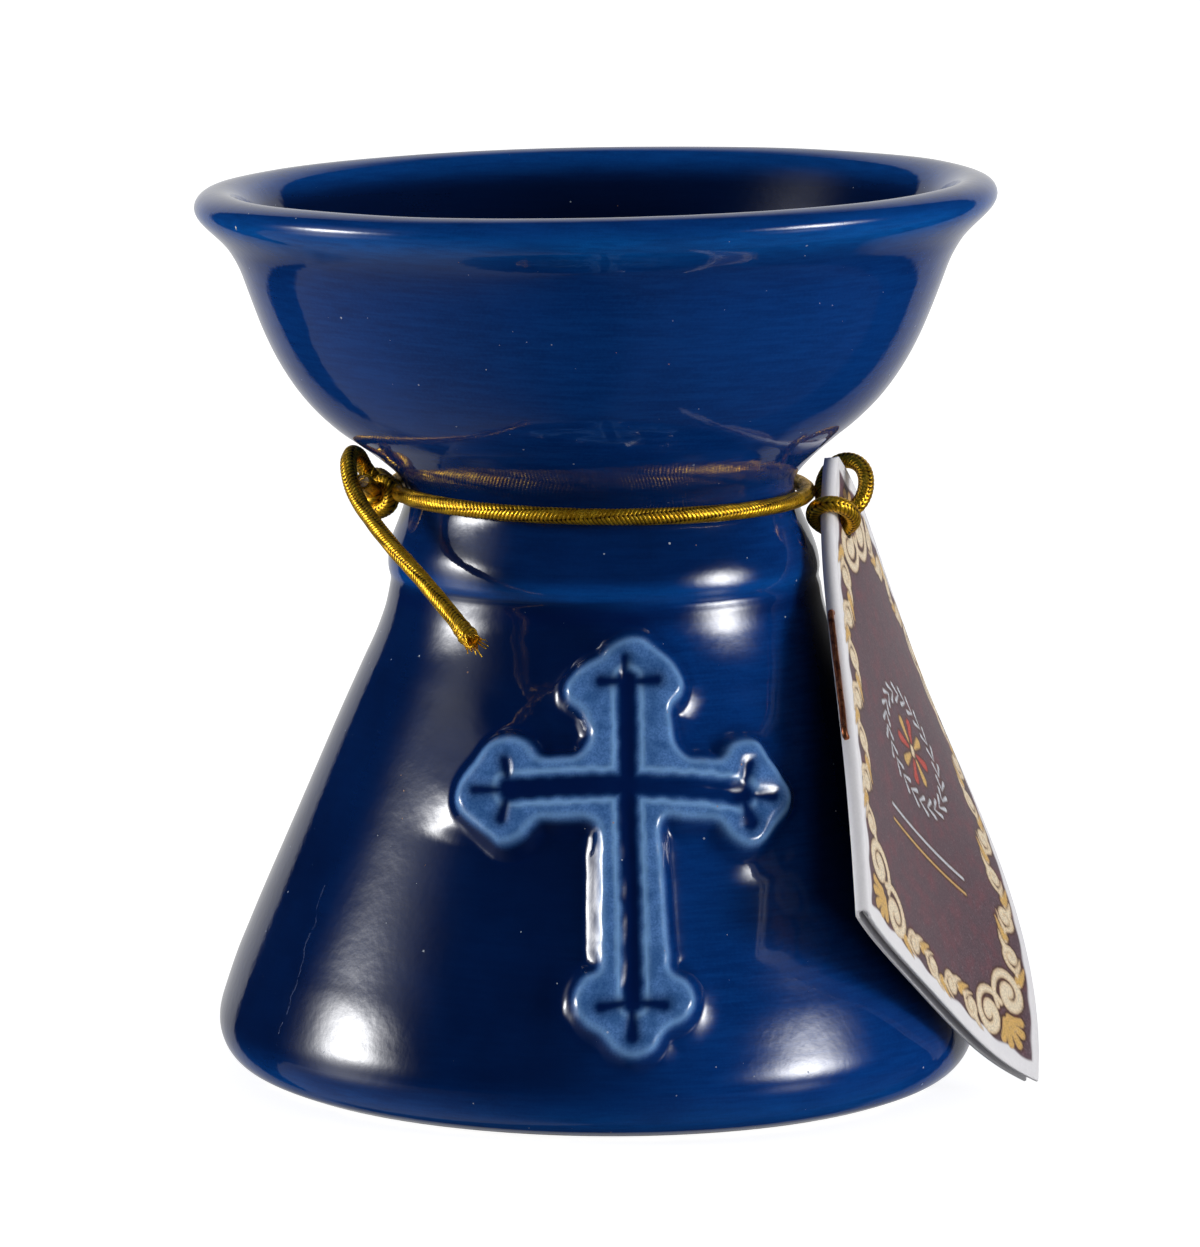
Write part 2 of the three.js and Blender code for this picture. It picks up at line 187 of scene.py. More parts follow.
# =====================================================================
# node tools
# =====================================================================
class Nodes:
    def __init__(self, tree):
        self.tree = tree
        tree.nodes.clear()

    def add(self, kind, inputs=None, **props):
        n = self.tree.nodes.new(kind)
        for k, v in props.items():
            setattr(n, k, v)
        for k, v in (inputs or {}).items():
            self.put(n.inputs[k], v)
        return n

    def put(self, socket, v):
        if isinstance(v, bpy.types.NodeSocket):
            self.tree.links.new(v, socket)
        else:
            socket.default_value = v

    def math(self, op, a, b=None, c=None, clamp=False):
        n = self.tree.nodes.new("ShaderNodeMath")
        n.operation = op
        n.use_clamp = clamp
        for i, v in enumerate((a, b, c)):
            if v is not None:
                self.put(n.inputs[i], v)
        return n.outputs[0]

    def mul(self, a, b):
        return self.math("MULTIPLY", a, b)

    def plus(self, a, b):
        return self.math("ADD", a, b)

    def minus(self, a, b):
        return self.math("SUBTRACT", a, b)

    def ramp(self, x, lo, hi, out_lo=0.0, out_hi=1.0, kind="SMOOTHSTEP"):
        n = self.add("ShaderNodeMapRange", interpolation_type=kind)
        for i, v in enumerate((x, lo, hi, out_lo, out_hi)):
            self.put(n.inputs[i], v)
        return n.outputs[0]

    def mix(self, fac, a, b, blend="MIX"):
        n = self.tree.nodes.new("ShaderNodeMix")
        n.data_type = "RGBA"
        n.blend_type = blend
        self.put(n.inputs[0], fac)
        for i, v in ((6, a), (7, b)):
            if not isinstance(v, bpy.types.NodeSocket):
                v = (*v, 1.0) if len(v) == 3 else v
            self.put(n.inputs[i], v)
        return n.outputs[2]

    def attr(self, name):
        return self.add("ShaderNodeAttribute", attribute_name=name, attribute_type="GEOMETRY")

    def value(self, name):
        return self.attr(name).outputs["Fac"]

    def coords(self):
        return self.add("ShaderNodeTexCoord").outputs["Object"]

    def scaled(self, vec, x, y, z):
        n = self.add("ShaderNodeVectorMath", operation="MULTIPLY")
        self.put(n.inputs[0], vec)
        n.inputs[1].default_value = (x, y, z)
        return n.outputs[0]

    def noise(self, vec, scale, detail=2.0, rough=0.5, distortion=0.0):
        n = self.add("ShaderNodeTexNoise")
        self.put(n.inputs["Vector"], vec)
        n.inputs["Scale"].default_value = scale
        n.inputs["Detail"].default_value = detail
        n.inputs["Roughness"].default_value = rough
        n.inputs["Distortion"].default_value = distortion
        return n.outputs["Fac"]

    def bump(self, height, distance, strength=1.0, normal=None):
        n = self.add("ShaderNodeBump")
        n.inputs["Strength"].default_value = strength
        n.inputs["Distance"].default_value = distance
        self.put(n.inputs["Height"], height)
        if normal is not None:
            self.put(n.inputs["Normal"], normal)
        return n.outputs["Normal"]


def material(name):
    m = bpy.data.materials.new(name)
    m.use_nodes = True
    N = Nodes(m.node_tree)
    out = N.add("ShaderNodeOutputMaterial")
    bsdf = N.add("ShaderNodeBsdfPrincipled")
    m.node_tree.links.new(bsdf.outputs[0], out.inputs[0])
    return m, N, bsdf


# =====================================================================
# materials
# =====================================================================
def glaze_material():
    m, N, b = material("cobalt_glaze")
    co = N.coords()
    paler_glaze_and_floor_light, plate, edge, pool, bare, bowl_shade, thick = (N.value(k) for k in ("paler_glaze_and_floor_light", "plate", "edge", "pool", "bare", "bowl_shade", "thick"))
    # cobalt body of the glaze, a little cloudy
    cloud = N.noise(co, 90.0, 3.0, 0.55)
    grain = N.noise(co, 3600.0, 2.0, 0.6)
    fine = N.noise(co, 9000.0, 1.0, 0.5)
    deep = N.mix(N.ramp(cloud, 0.3, 0.7), (0.0013, 0.0265, 0.150), (0.0021, 0.0350, 0.192))
    deep = N.mix(N.mul(N.ramp(grain, 0.35, 0.75), 0.35), deep, (0.003, 0.050, 0.250))
    # faint level streaks from the wheel the glaze was wiped on
    drawn = N.noise(N.scaled(co, 1.0, 1.0, 12.0), 210.0, 5.0, 0.66)
    deep = N.mix(N.mul(N.ramp(drawn, 0.42, 0.68), 0.42), deep, (0.0035, 0.056, 0.262))
    deep = N.mix(N.mul(N.ramp(drawn, 0.50, 0.30), 0.30), deep, (0.0009, 0.0190, 0.112))
    # darker cobalt where 'thick' is set: over the front and left of the cone, round the neck under the bowl, and as a
    # painted shadow of the tag on the cone's right
    deep = N.mix(N.mul(thick, N.ramp(cloud, 0.2, 0.7, 1.0, 0.82)), deep, (0.0007, 0.0082, 0.050))
    # paler glaze where it is thin on the lip, the collar's edge and the foot, streaked the way it was wiped; round the
    # foot the pale band is also painted light from the floor
    streak = N.noise(N.scaled(co, 1.0, 1.0, 9.0), 420.0, 4.0, 0.62)
    t = N.mul(paler_glaze_and_floor_light, N.ramp(streak, 0.25, 0.72, 0.55, 1.15))
    t = N.mul(t, N.ramp(fine, 0.3, 0.7, 0.85, 1.1))
    # painted shade: the inside of the bowl painted darker below the lip, for the shade the rim casts there
    deep = N.mix(N.mul(bowl_shade, 0.93), deep, (0.0006, 0.0050, 0.030))
    col = N.mix(N.math("MINIMUM", t, 1.0), deep, (0.0030, 0.105, 0.430))
    # raised cross: pale, mottled like a sponge, paler still along its edges
    mottle = N.noise(co, 5200.0, 3.0, 0.6)
    broad = N.noise(co, 620.0, 3.0, 0.55)
    pale = N.mix(N.ramp(broad, 0.34, 0.64), (0.048, 0.142, 0.375), (0.100, 0.240, 0.570))
    pale = N.mix(N.mul(N.ramp(mottle, 0.38, 0.66), 0.5), pale, (0.018, 0.080, 0.270))
    pale = N.mix(N.math("MINIMUM", N.mul(edge, 0.85), 1.0), pale, (0.250, 0.480, 0.830))
    col = N.mix(plate, col, pale)
    # glaze pooled in the grooves and round the foot of the relief; the same mask darkens a band just under the collar's
    # edge
    col = N.mix(N.math("MINIMUM", N.mul(pool, 0.9), 1.0), col, (0.0007, 0.0095, 0.070))
    # specks of dust and pinholes
    cell = N.add("ShaderNodeTexVoronoi", feature="F1")
    N.put(cell.inputs["Vector"], co)
    cell.inputs["Scale"].default_value = 880.0
    pick = N.add("ShaderNodeSeparateColor")
    N.put(pick.inputs[0], cell.outputs["Color"])
    size = N.plus(N.mul(N.math("POWER", pick.outputs[1], 3.0), 0.078), 0.020)
    dot = N.math("LESS_THAN", cell.outputs["Distance"], size)
    some = N.math("GREATER_THAN", pick.outputs[0], 0.55)
    speck = N.mul(dot, some)
    speckcol = N.mix(N.math("GREATER_THAN", pick.outputs[2], 0.8), (0.55, 0.62, 0.72), (0.42, 0.20, 0.07))
    col = N.mix(N.mul(speck, 0.62), col, speckcol)
    # one long fine scratch low on the left, and a chip in the lip
    xyz = N.add("ShaderNodeSeparateXYZ")
    N.put(xyz.inputs[0], co)
    sx, sy, sz = xyz.outputs
    wig = N.mul(N.minus(N.noise(co, 300.0, 3.0, 0.6), 0.5), 0.0012)
    off = N.math("ABSOLUTE", N.plus(N.plus(sx, wig), N.math("MULTIPLY_ADD", sz, -0.3055, 0.0289)))
    scratch = N.mul(N.math("LESS_THAN", off, 0.000036), N.math("LESS_THAN", sy, -0.005))
    scratch = N.mul(scratch, N.mul(N.math("GREATER_THAN", sz, 0.0056), N.math("LESS_THAN", sz, 0.0193)))
    scratch = N.mul(scratch, N.ramp(N.noise(co, 1800.0, 2.0, 0.6), 0.42, 0.55))
    col = N.mix(N.mul(scratch, 0.30), col, (0.13, 0.17, 0.30))
    to_chip = N.add("ShaderNodeVectorMath", operation="DISTANCE")
    N.put(to_chip.inputs[0], co)
    to_chip.inputs[1].default_value = (-0.0307, -0.0172, 0.0772)
    near = N.plus(to_chip.outputs["Value"], N.mul(N.minus(N.noise(co, 2600.0, 2.0, 0.6), 0.5), 0.0005))
    chip = N.math("LESS_THAN", near, 0.00026)
    col = N.mix(chip, col, (0.78, 0.76, 0.72))
    speck = N.math("MAXIMUM", speck, N.math("MAXIMUM", chip, N.mul(scratch, 0.22)))
    # bare clay where the glaze was wiped off, with a ragged edge
    rag = N.plus(bare, N.mul(N.minus(N.noise(co, 900.0, 4.0, 0.6), 0.5), 0.55))
    clay = N.ramp(rag, 0.47, 0.56)
    claycol = N.mix(N.noise(co, 260.0, 5.0, 0.6), (0.50, 0.47, 0.42), (0.70, 0.68, 0.64))
    stain = N.mul(N.ramp(N.noise(co, 140.0, 4.0, 0.65), 0.55, 0.72), 0.5)
    claycol = N.mix(stain, claycol, (0.16, 0.20, 0.33))
    col = N.mix(clay, col, claycol)
    N.put(b.inputs["Base Color"], col)
    rough = N.ramp(N.noise(co, 160.0, 3.0, 0.6), 0.3, 0.8, 0.035, 0.085)
    rough = N.plus(rough, N.mul(speck, 0.4))
    rough = N.plus(rough, N.mul(clay, 0.72))
    N.put(b.inputs["Roughness"], rough)
    b.inputs["IOR"].default_value = 1.52
    # orange peel over the gloss, grit on the clay
    peel = N.plus(N.mul(N.noise(co, 1500.0, 2.0, 0.5), 0.7), N.mul(N.noise(co, 520.0, 1.0, 0.5), 1.3))
    n1 = N.bump(peel, 0.000012, 0.8)
    grit = N.mul(N.noise(co, 5200.0, 4.0, 0.65), clay)
    n2 = N.bump(grit, 0.00008, 0.8, n1)
    n3 = N.bump(speck, 0.00003, 0.6, n2)
    N.put(b.inputs["Normal"], n3)
    return m


def gold_material():
    m, N, b = material("gold_braid")
    co = N.coords()
    crevice_shade = N.value("crevice_shade")
    tone = N.noise(co, 1400.0, 2.0, 0.5)
    spark = N.noise(co, 7200.0, 2.0, 0.6)
    gold = N.mix(N.ramp(tone, 0.3, 0.7), (0.68, 0.340, 0.008), (0.98, 0.585, 0.026))
    gold = N.mix(N.mul(N.ramp(spark, 0.5, 0.75), 0.5), gold, (1.0, 0.78, 0.13))
    # painted shade: gold painted near black in the braid's crevices, in the cut end's hollow and round the fibres'
    # roots
    gold = N.mix(N.ramp(crevice_shade, 0.16, 0.62), gold, (0.022, 0.009, 0.002))
    N.put(b.inputs["Base Color"], gold)
    b.inputs["Metallic"].default_value = 0.84
    N.put(b.inputs["Roughness"], N.plus(N.ramp(spark, 0.3, 0.7, 0.20, 0.38), N.mul(crevice_shade, 0.35)))
    N.put(b.inputs["Normal"], N.bump(spark, 0.00003, 0.7))
    return m


def rubber_material():
    m, N, b = material("cord_core")
    co = N.coords()
    f = N.noise(co, 2600.0, 4.0, 0.6)
    N.put(b.inputs["Base Color"], N.mix(f, (0.42, 0.26, 0.12), (0.74, 0.58, 0.38)))
    b.inputs["Roughness"].default_value = 0.7
    N.put(b.inputs["Normal"], N.bump(f, 0.0001, 0.8))
    return m


def paper_material(printed):
    m, N, b = material("printed_paper" if printed else "plain_paper")
    co = N.coords()
    fibre = N.noise(N.scaled(co, 1.0, 1.0, 0.45), 5200.0, 4.0, 0.65)
    soft = N.noise(co, 420.0, 3.0, 0.5)
    white = N.mix(fibre, (0.72, 0.71, 0.74), (0.86, 0.85, 0.87))
    white = N.mix(N.mul(N.ramp(soft, 0.45, 0.7), 0.25), white, (0.70, 0.69, 0.73))
    if printed:
        ink = N.attr("ink").outputs["Color"]
        amount = N.value("inked")
        patch = N.noise(co, 520.0, 4.0, 0.6)
        dots = N.noise(co, 6500.0, 2.0, 0.7)
        lum = N.add("ShaderNodeSeparateColor")
        N.put(lum.inputs[0], ink)
        warm = N.mix(1.0, ink, (1.42, 0.93, 0.95), "MULTIPLY")
        ink = N.mix(N.mul(N.ramp(patch, 0.42, 0.72), N.ramp(lum.outputs[0], 0.30, 0.18)), ink, warm)
        cold = N.mix(1.0, ink, (0.62, 0.62, 0.68), "MULTIPLY")
        ink = N.mix(N.mul(N.ramp(dots, 0.45, 0.60), 0.8), ink, cold)
        ink = N.mix(N.mul(N.ramp(fibre, 0.56, 0.68), 0.22), ink, (0.60, 0.55, 0.58))
        col = N.mix(amount, white, ink)
        N.put(b.inputs["Base Color"], col)
        N.put(b.inputs["Roughness"], N.ramp(fibre, 0.3, 0.7, 0.40, 0.56))
        b.inputs["Specular IOR Level"].default_value = 0.35
    else:
        N.put(b.inputs["Base Color"], white)
        b.inputs["Roughness"].default_value = 0.72
        b.inputs["Specular IOR Level"].default_value = 0.25
    N.put(b.inputs["Normal"], N.bump(N.plus(fibre, N.mul(soft, 0.6)), 0.00002, 0.7))
    return m


def copper_material():
    m, N, b = material("copper_wire")
    co = N.coords()
    f = N.noise(N.scaled(co, 1.0, 0.25, 0.25), 5200.0, 3.0, 0.6)
    patina = N.noise(co, 900.0, 3.0, 0.6)
    c = N.mix(N.ramp(f, 0.3, 0.7), (0.30, 0.085, 0.035), (0.62, 0.23, 0.10))
    c = N.mix(N.mul(N.ramp(patina, 0.45, 0.7), 0.8), c, (0.06, 0.02, 0.014))
    N.put(b.inputs["Base Color"], c)
    b.inputs["Metallic"].default_value = 0.9
    N.put(b.inputs["Roughness"], N.ramp(patina, 0.3, 0.7, 0.24, 0.46))
    N.put(b.inputs["Normal"], N.bump(f, 0.00003, 0.7))
    return m


GLAZE, GOLD, CORE = glaze_material(), gold_material(), rubber_material()
PRINTED, PAPER, COPPER = paper_material(True), paper_material(False), copper_material()


# =====================================================================
# gold elastic cord
# =====================================================================
CORD_D = 1.5


def braid(path, pitch=0.37, sides=48, radius=CORD_D / 2, columns=4, deep=0.115, phase=0.0, turn=0.02, swell=None, first=(0.0, 0.0, 1.0), caps=(True, True)):
    """A flat-strip braid with herringbone columns, swept along a path. Returns points, faces, and the shade painted
    into its crevices.
    """
    s = along(path)[:, None]
    T, A, B = frames(path, first)
    phi = np.linspace(0, 2 * np.pi, sides, endpoint=False)[None, :]
    c = columns * (phi / (2 * np.pi) + turn * s + phase)
    k = np.floor(c)
    f = c - k - 0.5
    way = np.where(np.mod(k, 2) < 0.5, 1.0, -1.0)
    u = s / pitch + way * f * 1.75 + 0.10 * np.sin(1.3 * s + 4 * phase)
    fr = u - np.floor(u) - 0.5
    rib = np.sqrt(np.clip(1 - (fr / 0.54) ** 2, 0, 1))
    seam = np.abs(2 * f) ** 5
    lift = 0.5 + 0.5 * np.sin(2 * np.pi * (f * 0.5 + 0.25 * way))
    h = rib * (0.80 + 0.20 * lift) - 0.45 * seam
    h = h + 0.10 * np.sin(37.0 * np.floor(u) + 11.0 * k) * rib
    uneven = 1 + 0.12 * np.sin(2 * np.pi * s / 3.7) * np.cos(2 * phi + 1)
    r = radius - deep * (1 - h) * uneven
    if swell is not None:
        r = r * swell(s)
    pts = path[:, None, :] + r[..., None] * (np.cos(phi)[..., None] * A[:, None, :] + np.sin(phi)[..., None] * B[:, None, :])
    # painted shade: the deeper a point lies between the strips, the darker its gold is painted
    crevice_shade = np.clip(1 - h, 0, 1.2) / 1.2
    rows = len(path)
    verts = pts.reshape(-1, 3)
    faces = grid_faces(rows, sides, True).tolist()
    crevice_shade = np.broadcast_to(crevice_shade, (rows, sides)).ravel()
    if caps[0]:
        verts = np.vstack([verts, path[:1]])
        crevice_shade = np.r_[crevice_shade, 1.0]
        k = len(verts) - 1
        faces += [[(j + 1) % sides, j, k] for j in range(sides)]
    if caps[1]:
        verts = np.vstack([verts, path[-1:]])
        crevice_shade = np.r_[crevice_shade, 1.0]
        k = len(verts) - 1
        base = (rows - 1) * sides
        faces += [[base + j, base + (j + 1) % sides, k] for j in range(sides)]
    return verts, faces, crevice_shade


def joined(parts):
    verts, faces, crevice_shade, mats = [], [], [], []
    base = 0
    for part in parts:
        v, f, c = part[:3]
        verts.append(v)
        faces += [[i + base for i in q] for q in f]
        crevice_shade.append(c)
        mats += [part[3] if len(part) > 3 else 0] * len(f)
        base += len(v)
    return np.vstack(verts), faces, np.concatenate(crevice_shade), mats


NECK = dict(x=0.72, z=52.5, r=18.4)


def neck_arc(a0, a1, step):
    n = int(abs(math.radians(a1 - a0)) * NECK["r"] / step) + 2
    a = np.radians(np.linspace(a0, a1, n))
    return np.column_stack([NECK["x"] + NECK["r"] * np.cos(a), NECK["r"] * np.sin(a), np.full(n, NECK["z"])])


TAIL = [(-20.12, -2.82, 54.38), (-20.70, -3.6, 55.6), (-21.2, -4.6, 56.0), (-21.5, -5.8, 55.5), (-21.35, -7.2, 54.2), (-20.55, -9.2, 52.5),
        (-19.0, -12.2, 50.8), (-17.05, -15.6, 49.0), (-15.1, -18.6, 47.4), (-13.2, -21.6, 45.7), (-11.6, -24.2, 44.2), (-10.2, -26.6, 42.8)]
SHORT = [(-19.62, -4.6, 52.97), (-20.0, -6.4, 53.6), (-20.15, -7.8, 53.95)]

tail_path, tail_length = spline(TAIL, 0.06)
sw = lambda s: 1 + 0.16 * smooth(tail_length - 3.0, tail_length - 0.9, s) + 0.07 * np.sin(s * 5.2) * smooth(tail_length - 2.4, tail_length - 1.4, s) - 0.06 * smooth(tail_length - 0.8, tail_length, s)
v, f, c = braid(tail_path, phase=0.08, swell=sw, caps=(True, False), first=(1, 0, 0))
# the cut end is open: the braid turns in and runs back as a hollow, with painted shade growing darker further in
T, A, B = frames(tail_path, (1, 0, 0))
sides = 48
ring = len(tail_path) - 1
base = ring * sides
phi = np.linspace(0, 2 * np.pi, sides, endpoint=False)
extra, hollow_shade = [], []
for k, (back, rad) in enumerate([(-0.05, 0.68), (0.1, 0.58), (0.7, 0.52), (1.3, 0.46)]):
    centre = tail_path[ring] - T[ring] * back
    wob = 1 + 0.05 * np.sin(3 * phi + k)
    extra.append(centre + (rad * wob)[:, None] * (np.cos(phi)[:, None] * A[ring] + np.sin(phi)[:, None] * B[ring]))
    hollow_shade.append(np.full(sides, 0.12 + 0.10 * k))
start = len(v)
v = np.vstack([v, *extra, tail_path[ring] - T[ring] * 1.35])
c = np.r_[c, np.concatenate(hollow_shade), 0.5]
f += [[base + j, base + (j + 1) % sides, start + (j + 1) % sides, start + j] for j in range(sides)]
f += (grid_faces(4, sides, True, start)).tolist()
f += [[start + 3 * sides + j, start + 3 * sides + (j + 1) % sides, len(v) - 1] for j in range(sides)]
tail = make("cord_tail", v, f, GOLD, "neck_cord", {"crevice_shade": c})
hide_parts("cord_tail_long")

# frayed strips at the cut end
rng = np.random.default_rng(11)
fv, ff, root_shade = [], [], []
end, te, ae, be = tail_path[ring], T[ring], A[ring], B[ring]
for k in range(22):
    a = 2 * np.pi * (k + rng.uniform(-0.3, 0.3)) / 22
    out = math.cos(a) * ae + math.sin(a) * be
    side = -math.sin(a) * ae + math.cos(a) * be
    ln = rng.uniform(0.45, 1.1) * (1.5 if k % 7 == 0 else 1)
    flare = rng.uniform(-0.25, 0.65)
    lean = rng.uniform(-0.6, 0.6)
    w = rng.uniform(0.07, 0.14)
    n = 7
    b0 = len(fv)
    for i in range(n):
        u = i / (n - 1)
        p = end - te * 0.12 + out * (0.72 + flare * u * u * ln) + te * (ln * u) + side * (lean * u * u * 0.5)
        ww = w * (1 - 0.6 * u)
        for sx, ox in ((-1, 0.0), (1, 0.0), (1, 0.045), (-1, 0.045)):
            fv.append(p + side * sx * ww + out * (ox - 0.02))
            # painted shade: each frayed strip is painted darker towards its root
            root_shade.append(0.1 + 0.25 * (1 - u))
    for i in range(n - 1):
        for q in range(4):
            ff.append([b0 + i * 4 + q, b0 + i * 4 + (q + 1) % 4, b0 + (i + 1) * 4 + (q + 1) % 4, b0 + (i + 1) * 4 + q])
    ff.append([b0 + 3, b0 + 2, b0 + 1, b0])
    e = b0 + (n - 1) * 4
    ff.append([e, e + 1, e + 2, e + 3])
fray = make("cord_fray", np.array(fv), ff, GOLD, "neck_cord", {"crevice_shade": root_shade})

# round the neck
v, f, c = braid(neck_arc(-168.5, -19.5, 0.06), phase=0.0)
o = make("cord_front", v, f, GOLD, "neck_cord", {"crevice_shade": c})
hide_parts("cord_strand_front")
v, f, c = braid(neck_arc(-21.5, 180.0, 0.09), sides=32, phase=0.0)
o = make("cord_back", v, f, GOLD, "neck_cord", {"crevice_shade": c})
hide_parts("cord_strand_back")

# knot: both ends of the loop tied together, then the short cut end
KNOT_1 = [(-16.95, -4.75, 52.5), (-17.6, -3.9, 52.75), (-18.3, -2.5, 53.35), (-19.2, -1.1, 53.55), (-20.2, -0.8, 52.7), (-20.45, -1.7, 51.6), (-19.7, -2.9, 51.4),
          (-18.9, -3.4, 52.4), (-19.4, -2.9, 53.5), (-20.12, -2.82, 54.45)]
KNOT_2 = [(-17.68, 0.9, 52.5), (-18.3, -0.4, 52.2), (-19.3, -1.0, 51.3), (-19.6, -2.3, 50.7), (-18.9, -3.7, 50.75), (-17.9, -4.5, 51.5), (-17.8, -4.2, 52.8),
          (-18.7, -3.3, 53.3), (-19.5, -3.4, 52.6), (-19.62, -4.6, 52.97)]
k1, _ = spline(KNOT_1, 0.06)
k2, _ = spline(KNOT_2, 0.06)
parts = [braid(k1, phase=0.2, sides=40), braid(k2, phase=0.45, sides=40)]
v, f, c, mt = joined(parts)
o = make("cord_knot_tied", v, f, GOLD, "neck_cord", {"crevice_shade": c})
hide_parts("cord_knot")
s_path, s_len = spline([KNOT_2[-2], *SHORT], 0.06)
v, f, c = braid(s_path, phase=0.45, caps=(True, False), first=(0, 0, 1))
T2, A2, B2 = frames(s_path, (0, 0, 1))
start, rows = len(v), len(s_path)
phi = np.linspace(0, 2 * np.pi, sides, endpoint=False)
rings = []
for back, rad in ((-0.05, 0.60), (-0.02, 0.5), (0.0, 0.44), (0.06, 0.25)):
    rings.append(s_path[-1] - T2[-1] * back + rad * (np.cos(phi)[:, None] * A2[-1] + np.sin(phi)[:, None] * B2[-1]) * (1 + 0.03 * np.sin(4 * phi))[:, None])
v = np.vstack([v, *rings, s_path[-1] - T2[-1] * 0.10])
# painted shade: the gold ring where the sheath turns in to the core is painted darker
c = np.r_[c, np.full(sides, 0.2), np.full(sides, 0.7), np.full(sides * 2 + 1, 0.2)]
base = (rows - 1) * sides
nf = len(f)
f += [[base + j, base + (j + 1) % sides, start + (j + 1) % sides, start + j] for j in range(sides)]
f += grid_faces(4, sides, True, start).tolist()
f += [[start + 3 * sides + j, start + 3 * sides + (j + 1) % sides, len(v) - 1] for j in range(sides)]
fm = np.zeros(len(f), int)
fm[nf + 2 * sides:] = 1
o = make("cord_cut_end", v, f, [GOLD, CORE], "neck_cord", {"crevice_shade": c}, face_material=fm)
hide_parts("cord_tail_short")


rng = np.random.default_rng(5)
fv, ff, root_shade = [], [], []
for k in range(20):
    near_end = k < 12
    root = s_path[-1 if near_end else int(rng.integers(2, len(s_path) // 2))] + rng.normal(0, 0.25, 3)
    go = np.array([rng.uniform(-0.2, 0.8), rng.uniform(-0.9, 0.3), rng.uniform(-0.3, 1.0)]) if near_end else np.array([rng.uniform(0.1, 0.9), rng.uniform(-0.6, 0.1), rng.uniform(0.2, 1.0)])
    go /= np.linalg.norm(go)
    side = np.cross(go, (0.3, 0.9, 0.2))
    side /= np.linalg.norm(side)
    upw = np.cross(side, go)
    ln, lean, w = rng.uniform(0.7, 1.7), rng.uniform(-0.9, 0.9), rng.uniform(0.022, 0.05)
    b0 = len(fv)
    for i in range(9):
        u = i / 8
        p = root + go * ln * u + side * lean * u * u * 0.6 + upw * math.sin(3 * u + k) * 0.10
        ww = w * (1 - 0.55 * u)
        for sx, ox in ((-1, 0.0), (1, 0.0), (1, 0.03), (-1, 0.03)):
            fv.append(p + side * sx * ww + upw * (ox - 0.015))
            # painted shade: each fibre is painted darker towards its root
            root_shade.append(0.12 + 0.3 * (1 - u))
    for i in range(8):
        for q in range(4):
            ff.append([b0 + i * 4 + q, b0 + i * 4 + (q + 1) % 4, b0 + (i + 1) * 4 + (q + 1) % 4, b0 + (i + 1) * 4 + q])
    ff.append([b0 + 3, b0 + 2, b0 + 1, b0])
    ff.append([b0 + 32, b0 + 33, b0 + 34, b0 + 35])
make("cord_fibres", np.array(fv), ff, GOLD, "neck_cord", {"crevice_shade": root_shade})


# =====================================================================
# paper booklet
# =====================================================================
S0 = np.array([21.6, -1.5, 55.9])
S1 = np.array([24.066, -33.0, 20.574])
TW = np.array([0.39141, 0.70023, -0.59706])
TN = np.array([0.91874, -0.26068, 0.29657])
TAG_L, TAG_W = float(np.linalg.norm(S1 - S0)), 33.9
TAG_H = np.array([[0.1, -0.75, -2.3, -3.85, -5.45], [-0.8, -0.95, -1.4, -1.74, -2.16], [-0.39, -0.61, -0.52, 0.08, 1.07],
                  [-0.01, -0.23, 0.04, 1.06, 3.16], [0.0, -0.03, 0.4, 0.96, 3.03]])
MID = -0.65
HOLE_S, HOLE_T, HOLE_R = 4.85, 3.05, 1.76


def basis5(x):
    out = []
    for j in range(5):
        v = np.ones_like(x)
        for k in range(5):
            if k != j:
                v = v * (x - k / 4) / ((j - k) / 4)
        out.append(v)
    return np.stack(out, -1)


def tag_at(s, t):
    ca, cb = np.clip(s / TAG_L, 0, 1), np.clip(t / TAG_W, 0, 1)
    h = np.einsum("...i,ij,...j->...", basis5(ca), TAG_H, basis5(cb))
    return S0 + (S1 - S0) * (s / TAG_L)[..., None] + TW * t[..., None] + TN * h[..., None]


def tag_point(s, t, off=0.0):
    s, t = np.broadcast_arrays(np.asarray(s, float), np.asarray(t, float))
    e = 0.05
    sc, tc = np.clip(s, e, TAG_L - e), np.clip(t, e, TAG_W - e)
    ds = tag_at(sc + e, tc) - tag_at(sc - e, tc)
    dt = tag_at(sc, tc + e) - tag_at(sc, tc - e)
    n = np.cross(ds, dt)
    n /= np.linalg.norm(n, axis=-1)[..., None]
    return tag_at(s, t) + n * np.asarray(off)[..., None] if np.ndim(off) else tag_at(s, t) + n * off


